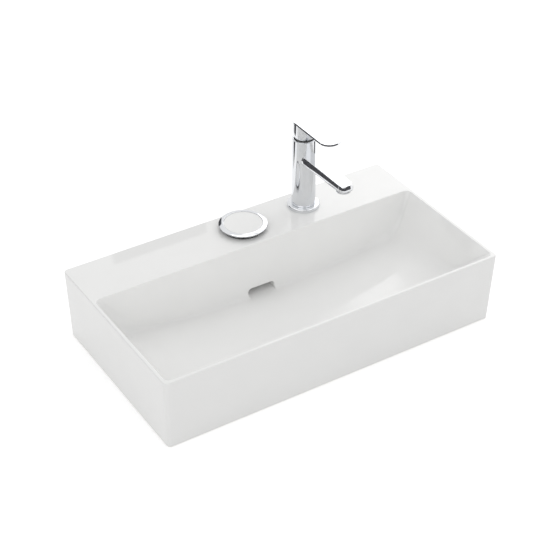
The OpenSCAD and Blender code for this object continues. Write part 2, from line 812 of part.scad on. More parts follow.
module aerator_seal() color("dimgray") at_outlet()
    ring(aerator_thread_r - part_gap, aerator_thread_r - aerator_wall,
         aerator_top_z + eps, aerator_room_z - part_gap);

module cartridge_housing() color("whitesmoke") at_tap() difference() {
    union() {
        rod(cart_r, base_top_z - base_h, collar_up_z);
        rod(neck_out_r, collar_up_z - eps, neck_top_z);
    }
    rod(cart_in_r, base_top_z - base_h - past, collar_up_z - housing_t);
    rod(neck_in_r, collar_up_z - 2 * housing_t, rotor_low_z + rotor_flange_h + turn_gap + part_gap);
    rod(rotor_neck_r + turn_gap, collar_up_z, neck_top_z + past);
}

// The three ways through the cartridge
module ports(z0, z1) {
    for (s = [-1, 1]) translate([s * port_x, port_y, 0]) rod(port_r, z0, z1);
    translate([0, mixed_y, 0]) rod(channel_r, z0, z1);
}

module cartridge_base() color("dimgray") at_tap() difference() {
    low = base_top_z - base_h;
    rod(cart_in_r - run_gap, low, base_top_z);
    ports(low - past, base_top_z + past);
    for (s = [-1, 1]) translate([s * port_x, port_y, 0])
        rod(port_r + seal_wall + part_gap, low - past, low + seal_proud);
    translate([0, mixed_y, 0]) rod(channel_r + seal_wall + part_gap, low - past, low + seal_proud);
}

module inlet_seals() color("black") at_tap() {
    high = base_top_z - base_h + seal_proud - run_gap;
    for (s = [-1, 1]) translate([s * port_x, port_y, 0])
        ring(port_r + seal_wall + run_gap, port_r + run_gap, seat_z, high);
    translate([0, mixed_y, 0]) ring(channel_r + seal_wall + run_gap, channel_r + run_gap, seat_z, high);
}

module fixed_disc() color("white") at_tap() difference() {
    rod(cart_in_r - spigot_gap, base_top_z, fixed_top_z);
    ports(base_top_z - past, fixed_top_z + past);
}

module moving_disc() color("white") at_tap() difference() {
    rod(slider_r, fixed_top_z + stack_gap, moving_top_z);
    linear_extrude(fixed_top_z + stack_gap + slider_cut_h)
        round_rect(-slider_cut_half, slider_cut_half, mixed_y - channel_r - slider_cut_over,
                   mixed_y + slider_cut_over, slider_cut_r);
}

module disc_carrier() color("gainsboro") at_tap() difference() {
    rod(slider_r, moving_top_z + stack_gap / 2, carrier_top_z);
    translate([-stem_half_x - turn_gap, -ball_r - turn_gap, ball_z - ball_r - 3 * turn_gap])
        cube([2 * (stem_half_x + turn_gap), 2 * (ball_r + turn_gap), carrier_h + 2 * ball_r]);
}

module rotor() color("lightgray") at_tap() difference() {
    union() {
        rod(rotor_flange_r, rotor_low_z, rotor_low_z + rotor_flange_h);
        rod(rotor_neck_r, rotor_low_z, rotor_top_z);
    }
    translate([-stem_half_x - part_gap, -slot_half_y, rotor_low_z - past])
        cube([2 * (stem_half_x + part_gap), 2 * slot_half_y, rotor_top_z]);
    translate([0, 0, pivot_z]) rotate([0, 90, 0]) translate([0, 0, -body_r])
        cylinder(r = pin_r + run_gap, h = body_dia);
}

module stem_pin() color("silver") at_tap() translate([-pin_half, 0, pivot_z])
    rotate([0, 90, 0]) cylinder(r = pin_r, h = 2 * pin_half);

module cartridge_nut() color("goldenrod") at_tap() difference() {
    rod(thread_r - run_gap, nut_low_z + part_gap, nut_top_z);
    rod(cart_r + run_gap, 0, collar_up_z + run_gap);
    rod(neck_out_r + turn_gap, 0, body_top_z);
}

// Bar with a ball at its foot that drives the disc carrier
module lever_stem() color("silver") at_tap() difference() {
    union() {
        translate([-stem_half_x, -stem_half_y, ball_z + stem_neck_h])
            cube([2 * stem_half_x, 2 * stem_half_y, stem_top_z - ball_z - stem_neck_h]);
        translate([0, 0, ball_z]) cylinder(r = stem_neck_r, h = stem_neck_h + past);
        translate([0, 0, ball_z]) sphere(r = ball_r);
    }
    translate([0, 0, pivot_z]) rotate([0, 90, 0]) translate([0, 0, -body_r])
        cylinder(r = pin_r + run_gap, h = body_dia);
}

// Lever seen from above, its round tip to the front
module lever_plan() {
    translate([-lever_half, lever_tip_r - lever_reach]) square([lever_w, lever_reach - lever_tip_r]);
    translate([lever_tip_r - lever_half, -lever_reach]) square([lever_w - 2 * lever_tip_r, lever_reach]);
    for (s = [-1, 1]) translate([s * (lever_half - lever_tip_r), lever_tip_r - lever_reach])
        circle(lever_tip_r);
    circle(lever_half);
}

// Half of the handle's foot seen from the side: upright above, rounded in below
module handle_profile() {
    translate([0, belly_z]) square([handle_r, lever_low_z - belly_z + eps]);
    intersection() {
        translate([0, handle_low_z]) square([handle_r, belly_h + eps]);
        translate([handle_r - belly_r, belly_z]) circle(belly_r);
    }
}

module handle() color("silver") at_tap() difference() {
    union() {
        rotate_extrude() handle_profile();
        translate([0, 0, lever_low_z]) linear_extrude(lever_t) lever_plan();
    }
    rod(handle_in_r, 0, handle_cave_z);
    translate([-stem_half_x - run_gap, -stem_half_y - run_gap, 0])
        cube([2 * (stem_half_x + run_gap), 2 * (stem_half_y + run_gap), stem_top_z + part_gap]);
    rod_y(screw_r + run_gap, 0, lever_half + past, screw_z);
    rod_y(index_r + run_gap, index_y, lever_half + past, screw_z);
}

module handle_screw() color("dimgray") at_tap()
    rod_y(screw_r, screw_y, screw_y + screw_l, screw_z);

module index_plug() color("lightsteelblue") at_tap()
    rod_y(index_r, index_y + part_gap, index_y + part_gap + index_t, screw_z);

basin();
waste_body();
waste_upper_seal();
waste_lower_seal();
waste_backnut();
click_housing();
click_spring();
click_plunger();
standpipe();
plug_seal();
stem_rod();
cap_ring();
cap_insert();
cap_seal();
tap_body();
base_ring();
base_seal();
mounting_stud();
rubber_washer();
clamp_plate();
stud_nut();
aerator_housing();
aerator_insert();
aerator_seal();
cartridge_housing();
cartridge_base();
inlet_seals();
fixed_disc();
moving_disc();
disc_carrier();
rotor();
stem_pin();
cartridge_nut();
lever_stem();
handle();
handle_screw();
index_plug();
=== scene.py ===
"""Dresses the packed basin for rendering.

A rectangular basin of vitreous china with a rear deck, a press-cap waste under a
round cap, and a single-lever mixer. Sizes are in millimetres, as in the part's
source, and become metres when a mesh is made.
"""
import json
import logging
import math
from dataclasses import dataclass
from enum import Enum
from typing import Iterable, Sequence

import bmesh
import bpy
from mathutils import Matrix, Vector


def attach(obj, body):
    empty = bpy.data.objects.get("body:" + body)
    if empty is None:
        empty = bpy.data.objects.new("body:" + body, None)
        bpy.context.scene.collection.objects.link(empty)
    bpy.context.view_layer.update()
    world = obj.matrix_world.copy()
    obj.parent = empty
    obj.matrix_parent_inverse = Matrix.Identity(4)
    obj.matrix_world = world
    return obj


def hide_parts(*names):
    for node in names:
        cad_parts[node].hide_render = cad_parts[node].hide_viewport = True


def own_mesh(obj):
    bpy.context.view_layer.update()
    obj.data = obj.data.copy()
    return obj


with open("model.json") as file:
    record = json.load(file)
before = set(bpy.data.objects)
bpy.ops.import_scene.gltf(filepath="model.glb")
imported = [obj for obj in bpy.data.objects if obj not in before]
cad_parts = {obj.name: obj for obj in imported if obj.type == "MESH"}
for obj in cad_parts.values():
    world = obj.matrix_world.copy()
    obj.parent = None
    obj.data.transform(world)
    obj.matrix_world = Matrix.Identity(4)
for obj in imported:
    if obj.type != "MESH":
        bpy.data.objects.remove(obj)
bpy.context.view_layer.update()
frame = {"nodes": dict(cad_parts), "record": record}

MM = 0.001
LOG = logging.getLogger("basin")
Point = tuple[float, float, float]
Flat = tuple[float, float]
Ring = list[int]

# Radii below this are one point.
NOTHING = 1e-6
# A nut's corners are turned off at 30 degrees, from a face a little inside its flats.
NUT_CONE = 0.577
NUT_FACE = 0.995
# Rings for one turn of a thread, and how steep its sides are: 1 leaves a sharp crest, more a flat one.
ROWS_PER_PITCH = 6
CREST = 1.5
# A wave texture repeats at this length where its scale is 1.
WAVE_PERIOD = math.pi / 10
# Upright axes of the waste and of the tap, seen from above.
WASTE_AXIS: Flat = (0.0, 118.0)
TAP_AXIS: Flat = (120.0, 123.0)


class Body(str, Enum):
    """Bodies of the packed model that new pieces ride on."""

    ROOT = "root"
    PLUG = "plug"
    HANDLE = "handle"


class Cut(str, Enum):
    """Ways to join a tool to a mesh."""

    TAKE = "DIFFERENCE"
    ADD = "UNION"


def srgb(code: str) -> tuple[float, float, float, float]:
    """Turns an sRGB hex colour to linear.

    Args:
        code: Colour such as "#F2F1ED".

    Returns:
        Linear red, green, blue and an alpha of 1.
    """
    parts = [int(code[i:i + 2], 16) / 255 for i in (1, 3, 5)]
    linear = [c / 12.92 if c <= 0.04045 else ((c + 0.055) / 1.055) ** 2.4 for c in parts]
    return (linear[0], linear[1], linear[2], 1.0)


def per_metre(size_mm: float) -> float:
    """Texture scale that gives features of a real size.

    Args:
        size_mm: Size of one feature in millimetres.

    Returns:
        Scale for coordinates in metres.
    """
    return 1 / (size_mm * MM)


def add_node(tree: bpy.types.NodeTree, kind: str, settings: dict | None = None,
             links: dict | None = None) -> bpy.types.Node:
    """Adds a node with its settings and links.

    Args:
        tree: Tree that gets the node.
        kind: Blender's name for the node.
        settings: Properties by name, or values of inputs by name or number.
        links: For an input's name or number, the node and output it comes from.

    Returns:
        The new node.
    """
    node = tree.nodes.new(kind)
    for key, value in (settings or {}).items():
        if isinstance(key, str) and key in node.bl_rna.properties:
            setattr(node, key, value)
        else:
            node.inputs[key].default_value = value
    for key, (source, output) in (links or {}).items():
        tree.links.new(source.outputs[output], node.inputs[key])
    return node


def bare_tree(owner: bpy.types.Material | bpy.types.World) -> bpy.types.NodeTree:
    """Empties the node tree of a material or a world.

    Args:
        owner: What the tree belongs to.

    Returns:
        The tree, without nodes.
    """
    owner.use_nodes = True
    owner.node_tree.nodes.clear()
    return owner.node_tree


def blank(name: str, data: bpy.types.ID) -> bpy.types.Object:
    """Makes an object and puts it in the scene.

    Args:
        name: Name of the object.
        data: Its mesh in metres, or its camera or lamp.

    Returns:
        The new object.
    """
    piece = bpy.data.objects.new(name, data)
    bpy.context.scene.collection.objects.link(piece)
    return piece


def polar(centre: Flat, r: float, turn: float) -> Flat:
    """Point at a radius and an angle in radians from a centre."""
    return (centre[0] + r * math.cos(turn), centre[1] + r * math.sin(turn))


def shifted(points: Iterable[Flat], by: Flat) -> list[Flat]:
    """Points of a plan or a profile, moved."""
    return [(x + by[0], y + by[1]) for x, y in points]


def arc(centre: Flat, size: Flat, first: float, last: float, steps: int) -> list[Flat]:
    """Points of an arc, with both its ends.

    Args:
        centre: Its centre.
        size: Its half width and half height, equal for a circle.
        first: Where it starts, in degrees.
        last: Where it ends, in degrees.
        steps: Number of facets.

    Returns:
        The points in order.
    """
    turns = (math.radians(first + (last - first) * i / steps) for i in range(steps + 1))
    return [(centre[0] + size[0] * math.cos(a), centre[1] + size[1] * math.sin(a)) for a in turns]


def along(start: Flat, end: Flat, steps: int) -> list[Flat]:
    """Points of a straight line, without its ends.

    Args:
        start: Where it starts.
        end: Where it ends.
        steps: Number of parts the line is split into.

    Returns:
        The points in order.
    """
    return [(start[0] + (end[0] - start[0]) * i / steps, start[1] + (end[1] - start[1]) * i / steps)
            for i in range(1, steps)]


def soft(corners: Sequence[Point], steps: int = 5, loop: bool = False) -> list[Flat]:
    """Rounds the corners of a profile.

    Args:
        corners: Radius and height of each corner, and the radius of its rounding.
        steps: Facets of each rounding.
        loop: Whether the profile closes on itself.

    Returns:
        Points of the rounded profile.
    """
    out: list[Flat] = []
    count = len(corners)
    for i, (x, y, r) in enumerate(corners):
        if r <= 0 or (not loop and i in (0, count - 1)):
            out.append((x, y))
            continue
        here = Vector((x, y))
        back = (Vector(corners[i - 1][:2]) - here).normalized()
        on = (Vector(corners[(i + 1) % count][:2]) - here).normalized()
        half = back.angle(on) / 2
        reach = r / math.tan(half)
        middle = here + (back + on).normalized() * (r / math.sin(half))
        start = here + back * reach - middle
        end = here + on * reach - middle
        first = math.degrees(math.atan2(start.y, start.x))
        sweep = (math.degrees(math.atan2(end.y, end.x)) - first + 180) % 360 - 180
        out += arc((middle.x, middle.y), (r, r), first, first + sweep, steps)
    return out


class Shell:
    """Points and faces of one mesh, gathered ring by ring in millimetres."""

    def __init__(self) -> None:
        """Starts with no points."""
        self.points: list[Point] = []
        self.faces: list[Ring] = []

    def ring(self, points: Iterable[Point]) -> Ring:
        """Adds points.

        Args:
            points: Places in millimetres.

        Returns:
            Their numbers.
        """
        start = len(self.points)
        self.points.extend(points)
        return list(range(start, len(self.points)))

    def level(self, plan: Iterable[Flat], z: float) -> Ring:
        """Adds the points of a plan at one height."""
        return self.ring((x, y, z) for x, y in plan)

    def circle(self, r: float, z: float, centre: Flat = (0, 0), steps: int = 96) -> Ring:
        """Adds a level circle, or one point where the radius is nothing.

        Args:
            r: Radius.
            z: Height.
            centre: Its middle.
            steps: Number of points.

        Returns:
            Numbers of its points.
        """
        if r < NOTHING:
            return self.level([centre], z)
        return self.level(arc(centre, (r, r), 0, 360, steps)[:-1], z)

    def skin(self, low: Ring, high: Ring, closed: bool = True) -> None:
        """Joins two rings with faces.

        Args:
            low: First ring.
            high: Second ring, with as many points, or one.
            closed: Whether the last point joins the first.
        """
        if len(low) == 1 and len(high) == 1:
            return
        count = max(len(low), len(high))
        for i in range(count if closed else count - 1):
            j = (i + 1) % count
            if len(low) == 1:
                self.faces.append([low[0], high[j], high[i]])
            elif len(high) == 1:
                self.faces.append([low[i], low[j], high[0]])
            else:
                self.faces.append([low[i], low[j], high[j], high[i]])

    def cap(self, ring: Ring) -> None:
        """Closes a ring with one flat face."""
        self.faces.append(list(ring))

    def stack(self, rings: Sequence[Ring], closed: bool = True, loop: bool = False,
              caps: bool = False) -> "Shell":
        """Joins rings one after another.

        Args:
            rings: The rings in order.
            closed: Whether each ring is closed.
            loop: Whether the last ring joins the first.
            caps: Whether the two ends get a flat face.

        Returns:
            The shell itself.
        """
        for low, high in zip(rings, rings[1:]):
            self.skin(low, high, closed)
        if loop:
            self.skin(rings[-1], rings[0], closed)
        if caps:
            self.cap(rings[0])
            self.cap(rings[-1])
        return self

    def pouch(self, rings: Iterable[Iterable[Point]]) -> "Shell":
        """Joins rings of points to a closed skin with a flat face at its start.

        Args:
            rings: The rings in order, the last of them one point.

        Returns:
            The shell itself.
        """
        numbers = [self.ring(points) for points in rings]
        self.stack(numbers)
        self.cap(numbers[0])
        return self

    def turn(self, profile: Sequence[Flat], centre: Flat = (0, 0), steps: int = 96,
             loop: bool = False) -> "Shell":
        """Turns a profile of radius and height about an upright axis.

        Args:
            profile: Points of the profile.
            centre: Place of the axis.
            steps: Number of facets round it.
            loop: Whether the profile closes on itself.

        Returns:
            The shell itself.
        """
        return self.stack([self.circle(r, z, centre, steps) for r, z in profile], loop=loop)

    def prism(self, plan: Sequence[Flat], low: float, high: float) -> "Shell":
        """Adds an upright prism on a plan."""
        return self.stack([self.level(plan, z) for z in (low, high)], caps=True)

    def rod_z(self, r: float, low: float, high: float, centre: Flat, steps: int = 96) -> "Shell":
        """Adds an upright rod."""
        return self.turn([(0, low), (r, low), (r, high), (0, high)], centre, steps)

    def rod_y(self, r: float, y0: float, y1: float, x: float, z: float, steps: int = 48) -> "Shell":
        """Adds a rod along Y.

        Args:
            r: Its radius.
            y0: Its front end.
            y1: Its rear end.
            x: Place of its axis.
            z: Height of its axis.
            steps: Number of facets round it.

        Returns:
            The shell itself.
        """
        face = arc((x, z), (r, r), 0, 360, steps)[:-1]
        return self.stack([self.ring((across, y, up) for across, up in face) for y in (y0, y1)], caps=True)

    def nut(self, corner: float, sides: int, low: float, high: float, bore: float,
            centre: Flat, lead: float = 0.35, steps: int = 96) -> "Shell":
        """Adds a nut whose corners are turned off in a cone at both faces.

        Args:
            corner: Radius to its corners.
            sides: Number of flats.
            low: Height of its lower face.
            high: Height of its upper face.
            bore: Radius of its bore.
            centre: Place of the axis.
            lead: Depth of the countersink at each end of the bore.
            steps: Points round it.

        Returns:
            The shell itself.
        """
        half = math.pi / sides
        flat = corner * math.cos(half)
        turned = [(corner - flat) * rise for rise in (0.0, 0.25, 0.5, 0.75, 1.0)]
        rings = [(low + NUT_CONE * over, NUT_FACE * flat + over) for over in turned]
        rings += [(low + high - z, cone) for z, cone in reversed(rings)]
        numbers = []
        for z, cone in rings:
            plan = []
            for i in range(steps):
                turn = math.tau * i / steps
                r = min(flat / math.cos((turn + half) % (2 * half) - half), cone)
                plan.append(polar(centre, r, turn))
            numbers.append(self.level(plan, z))
        for r, z in ((bore + lead, high), (bore, high - lead), (bore, low + lead), (bore + lead, low)):
            numbers.append(self.circle(r, z, centre, steps))
        return self.stack(numbers, loop=True)

    def thread(self, r: float, depth: float, pitch: float, low: float, high: float,
               centre: Flat, steps: int = 48) -> list[Ring]:
        """Adds the rings of a right-hand screw thread that fades out at both ends.

        Args:
            r: Radius over the crests.
            depth: From crest to root.
            pitch: Rise of one turn.
            low: Height of its foot.
            high: Height of its head.
            centre: Place of the axis.
            steps: Points in each ring.

        Returns:
            The rings from the foot to the head.
        """
        count = max(2, round((high - low) / pitch * ROWS_PER_PITCH))
        rings = []
        for k in range(count + 1):
            z = low + (high - low) * k / count
            fade = min(1.0, (z - low) / pitch, (high - z) / pitch)
            plan = []
            for i in range(steps):
                phase = ((z - low) / pitch - i / steps) % 1.0
                crest = min(1.0, CREST * (1 - abs(2 * phase - 1)))
                plan.append(polar(centre, r - depth * (1 - crest * fade), math.tau * i / steps))
            rings.append(self.level(plan, z))
        return rings

    def mesh(self, name: str) -> bpy.types.Mesh:
        """Makes the mesh in metres, its faces looking outwards.

        Args:
            name: Name of the mesh.

        Returns:
            The new mesh.
        """
        mesh = bpy.data.meshes.new(name)
        mesh.from_pydata([Vector(p) * MM for p in self.points], [], self.faces)
        work = bmesh.new()
        work.from_mesh(mesh)
        bmesh.ops.recalc_face_normals(work, faces=work.faces)
        work.to_mesh(mesh)
        work.free()
        return mesh

    def piece(self, name: str) -> bpy.types.Object:
        """Makes an object of the shell and puts it in the scene."""
        return blank(name, self.mesh(name))


def carve(piece: bpy.types.Object, tool: bpy.types.Object, how: Cut) -> None:
    """Joins a tool to a piece with an exact boolean, keeps the result and removes the tool.

    Args:
        piece: Object that changes.
        tool: Object that cuts it or is added to it.
        how: Which way they join.
    """
    modifier = piece.modifiers.new("join", "BOOLEAN")
    modifier.operation = how.value
    modifier.solver = "EXACT"
    modifier.object = tool
    graph = bpy.context.evaluated_depsgraph_get()
    done = bpy.data.meshes.new_from_object(piece.evaluated_get(graph))
    piece.modifiers.clear()
    piece.data = done
    bpy.data.objects.remove(tool)


@dataclass(frozen=True)
class Finish:
    """What every finish has: two close tones in patches, a wandering gloss and a fine relief.

    Args:
        tone: Main colour.
        second: Colour of the patches.
        patch_mm: Size of a patch.
        gloss: Roughness where it is smoothest and dullest.
        relief_mm: Size of a bump of the relief.
        relief_depth_mm: Its depth.
        ior: Index of refraction, unused by metals.
        metal: Whether it is a bare metal.
        ring_mm: Spacing of turning rings, or 0 for none.
        ring_depth_mm: Depth of the rings.
        ring_waver: How far the rings stray from even.
        band: Noise values between which one patch fades into the next.
        octaves: Detail of the patches and of the gloss.
    """

    tone: str
    second: str
    patch_mm: float
    gloss: Flat
    relief_mm: float
    relief_depth_mm: float
    ior: float = 1.5
    metal: bool = False
    ring_mm: float = 0.0
    ring_depth_mm: float = 0.0
    ring_waver: float = 0.4
    band: Flat = (0.3, 0.7)
    octaves: float = 3.0

    def shader(self, tree: bpy.types.NodeTree) -> bpy.types.Node:
        """Adds the finish's nodes.

        Args:
            tree: Tree that gets them.

        Returns:
            The shader at their end.
        """
        place = add_node(tree, "ShaderNodeTexCoord")
        scales = ((self.patch_mm, self.octaves), (self.patch_mm / 2, self.octaves), (self.relief_mm, 1.0))
        patches, wear, relief = (
            add_node(tree, "ShaderNodeTexNoise", {"Scale": per_metre(size), "Detail": detail},
                     {"Vector": (place, "Object")}) for size, detail in scales)
        low, high = self.band
        spread = add_node(tree, "ShaderNodeMapRange", {1: low, 2: high}, {0: (patches, 0)})
        colour = add_node(tree, "ShaderNodeMix",
                          {"data_type": "RGBA", 6: srgb(self.tone), 7: srgb(self.second)}, {0: (spread, 0)})
        gloss = add_node(tree, "ShaderNodeMapRange", {1: low, 2: high, 3: self.gloss[0], 4: self.gloss[1]},
                         {0: (wear, 0)})
        bump = add_node(tree, "ShaderNodeBump", {"Distance": self.relief_depth_mm * MM},
                        {"Height": (relief, 0)})
        if self.ring_mm:
            rings = add_node(tree, "ShaderNodeTexWave",
                             {"bands_direction": "Z", "Scale": WAVE_PERIOD * per_metre(self.ring_mm),
                              "Distortion": self.ring_waver}, {"Vector": (place, "Object")})
            bump = add_node(tree, "ShaderNodeBump", {"Distance": self.ring_depth_mm * MM},
                            {"Height": (rings, 0), "Normal": (bump, 0)})
        fixed = {"Metallic": 1.0} if self.metal else {"IOR": self.ior}
        return add_node(tree, "ShaderNodeBsdfPrincipled", fixed,
                        {"Base Color": (colour, 2), "Roughness": (gloss, 0), "Normal": (bump, 0)})

    def material(self) -> bpy.types.Material:
        """Makes the material the first time and gives the same one after that.

        Returns:
            The material of this finish.
        """
        name = type(self).__name__
        if name not in bpy.data.materials:
            tree = bare_tree(bpy.data.materials.new(name))
            add_node(tree, "ShaderNodeOutputMaterial", links={"Surface": (self.shader(tree), 0)})
        return bpy.data.materials[name]


@dataclass(frozen=True)
class GlazedChina(Finish):
    """Vitreous china: slip-cast clay under a fired opaque white glaze."""

    # A plain white with no cast. The glaze lies like still water, so its highlights are sharp
    # and waver a little. The foot is ground bare and shows dull cream clay.
    tone: str = "#F7F7F6"
    second: str = "#F5F5F4"
    patch_mm: float = 60.0
    gloss: Flat = (0.05, 0.09)
    relief_mm: float = 14.0
    relief_depth_mm: float = 0.012
    ior: float = 1.52
    peel_mm: float = 2.2
    peel_depth_mm: float = 0.0012
    clay: str = "#DDD3C0"
    clay_rough: float = 0.85
    foot_mm: float = 0.8

    def shader(self, tree: bpy.types.NodeTree) -> bpy.types.Node:
        """Adds the glaze with its fine orange peel, and the bare clay of the foot.

        Args:
            tree: Tree that gets the nodes.

        Returns:
            The shader at their end.
        """
        glazed = super().shader(tree)
        tone, gloss, ripple = (glazed.inputs[name].links[0].from_node
                               for name in ("Base Color", "Roughness", "Normal"))
        place = add_node(tree, "ShaderNodeTexCoord")
        axes = add_node(tree, "ShaderNodeSeparateXYZ", links={0: (place, "Object")})
        foot = add_node(tree, "ShaderNodeMapRange", {1: self.foot_mm * MM, 2: self.foot_mm / 2 * MM},
                        {0: (axes, "Z")})
        colour = add_node(tree, "ShaderNodeMix", {"data_type": "RGBA", 7: srgb(self.clay)},
                          {0: (foot, 0), 6: (tone, 2)})
        rough = add_node(tree, "ShaderNodeMix", {"data_type": "FLOAT", 3: self.clay_rough},
                         {0: (foot, 0), 2: (gloss, 0)})
        grain = add_node(tree, "ShaderNodeTexNoise", {"Scale": per_metre(self.peel_mm), "Detail": 1.0},
                         {"Vector": (place, "Object")})
        peel = add_node(tree, "ShaderNodeBump", {"Distance": self.peel_depth_mm * MM},
                        {"Height": (grain, 0), "Normal": (ripple, 0)})
        for name, node, output in (("Base Color", colour, 2), ("Roughness", rough, 0), ("Normal", peel, 0)):
            tree.links.new(node.outputs[output], glazed.inputs[name])
        return glazed


@dataclass(frozen=True)
class PolishedChrome(Finish):
    """Bright chromium over nickel on buffed brass."""

    # A mirror with a faintly cool tone. Buffing leaves the lightest waver in it.
    tone: str = "#E2E3E5"
    second: str = "#DCDEE1"
    patch_mm: float = 18.0
    gloss: Flat = (0.025, 0.055)
    relief_mm: float = 16.0
    relief_depth_mm: float = 0.004
    metal: bool = True


@dataclass(frozen=True)
class WasteChrome(Finish):
    """Thin chromium on turned brass, as on parts that stay out of sight."""

    # It mirrors less than the tap, and fine turning rings spread its highlights.
    tone: str = "#D3D4D6"
    second: str = "#C6C7C9"
    patch_mm: float = 6.0
    gloss: Flat = (0.10, 0.20)
    relief_mm: float = 3.0
    relief_depth_mm: float = 0.002
    metal: bool = True
    ring_mm: float = 0.35
    ring_depth_mm: float = 0.003


@dataclass(frozen=True)
class TurnedBrass(Finish):
    """Free-cutting brass straight from the lathe."""

    # Warm yellow metal with fine turning rings and a trace of tarnish.
    tone: str = "#D9BE7C"
    second: str = "#BD9C62"
    patch_mm: float = 5.0
    gloss: Flat = (0.22, 0.36)
    relief_mm: float = 1.5
    relief_depth_mm: float = 0.003
    metal: bool = True
    ring_mm: float = 0.3
    ring_depth_mm: float = 0.004


@dataclass(frozen=True)
class ZincSteel(Finish):
    """Mild steel with bright zinc plating."""

    # Grey-blue metal with a cloudy sheen from the plating bath.
    tone: str = "#B9BDC3"
    second: str = "#A6AAA6"
    patch_mm: float = 7.0
    gloss: Flat = (0.24, 0.40)
    relief_mm: float = 0.8
    relief_depth_mm: float = 0.006
    metal: bool = True


@dataclass(frozen=True)
class MouldedRubber(Finish):
    """Black EPDM rubber, compression moulded."""

    # Deep grey with a dull bloom on the surface and a fine grain from the mould.
    tone: str = "#232325"
    second: str = "#343436"
    patch_mm: float = 5.0
    gloss: Flat = (0.55, 0.80)
    relief_mm: float = 0.5
    relief_depth_mm: float = 0.02


@dataclass(frozen=True)
class WhiteAcetal(Finish):
    """White acetal and ABS, injection moulded in a polished tool."""

    # Satin white, a little cooler than the glaze, with faint flow marks.
    tone: str = "#E9E9E6"
    second: str = "#E2E3E1"
    patch_mm: float = 12.0
    gloss: Flat = (0.26, 0.38)
    relief_mm: float = 1.2
    relief_depth_mm: float = 0.004
    ior: float = 1.48


@dataclass(frozen=True)
class FilledNylon(Finish):
    """Grey polyamide with glass fibre, injection moulded."""

    # Mid grey and matt. Short fibres show as pale flecks.
    tone: str = "#8C8B86"
    second: str = "#A09F99"
    patch_mm: float = 0.9
    gloss: Flat = (0.45, 0.62)
    relief_mm: float = 0.9
    relief_depth_mm: float = 0.01
    ior: float = 1.53


@dataclass(frozen=True)
class LappedAlumina(Finish):
    """Aluminium oxide discs, lapped flat."""

    # Ivory and dense, with the silky look of a lapped face.
    tone: str = "#E9E3D2"
    second: str = "#DFD8C6"
    patch_mm: float = 1.5
    gloss: Flat = (0.14, 0.24)
    relief_mm: float = 1.0
    relief_depth_mm: float = 0.002
    ior: float = 1.76


@dataclass(frozen=True)
class IndexAbs(Finish):
    """Grey ABS plug over the fixing screw."""

    # Smooth and half glossy, close to the chrome's own grey.
    tone: str = "#A4A6A9"
    second: str = "#999B9E"
    patch_mm: float = 3.0
    gloss: Flat = (0.20, 0.30)
    relief_mm: float = 0.8
    relief_depth_mm: float = 0.003
    ior: float = 1.53


SLOTS: dict[str, Finish] = {
    "glazed_ceramic": GlazedChina(), "chrome": PolishedChrome(), "waste_chrome": WasteChrome(),
    "brass": TurnedBrass(), "steel": ZincSteel(), "rubber": MouldedRubber(), "white_plastic": WhiteAcetal(),
    "grey_plastic": FilledNylon(), "alumina": LappedAlumina(), "index_plastic": IndexAbs(),
}


def settle(piece: bpy.types.Object, body: Body, slot: str, nodes: Sequence[str],
           sharp_deg: float = 32) -> None:
    """Finishes a new piece: shading, material, body and the nodes it stands for.

    Args:
        piece: The object.
        body: Body that it rides on.
        slot: Its material slot in the record.
        nodes: CAD nodes that it replaces.
        sharp_deg: Edges that turn more than this stay sharp.
    """
    mesh = piece.data
    mesh.materials.clear()
    mesh.materials.append(SLOTS[slot].material())
    mesh.polygons.foreach_set("material_index", [0] * len(mesh.polygons))
    mesh.shade_smooth()
    mesh.set_sharp_from_angle(angle=math.radians(sharp_deg))
    even = piece.modifiers.new("even", "WEIGHTED_NORMAL")
    even.keep_sharp = True
    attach(piece, body.value)
    if nodes:
        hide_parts(*nodes)
    LOG.info("%s: %d faces, rides on %s, stands for %s", piece.name, len(mesh.polygons), body.value,
             ", ".join(nodes) or "nothing in the CAD")


def dress(*nodes: str) -> None:
    """Gives CAD nodes the materials of their slots in the record.

    Args:
        nodes: Names of the nodes.
    """
    slots = {row["node"]: row["material_slot"] for row in frame["record"]["subparts"]}
    for node in nodes:
        piece = frame["nodes"][node]
        if not piece.data.materials:
            piece.data.materials.append(None)
        for place in piece.material_slots:
            place.link = "OBJECT"
            place.material = SLOTS[slots[node]].material()
        LOG.info("%s: CAD node dressed as %s", node, slots[node])


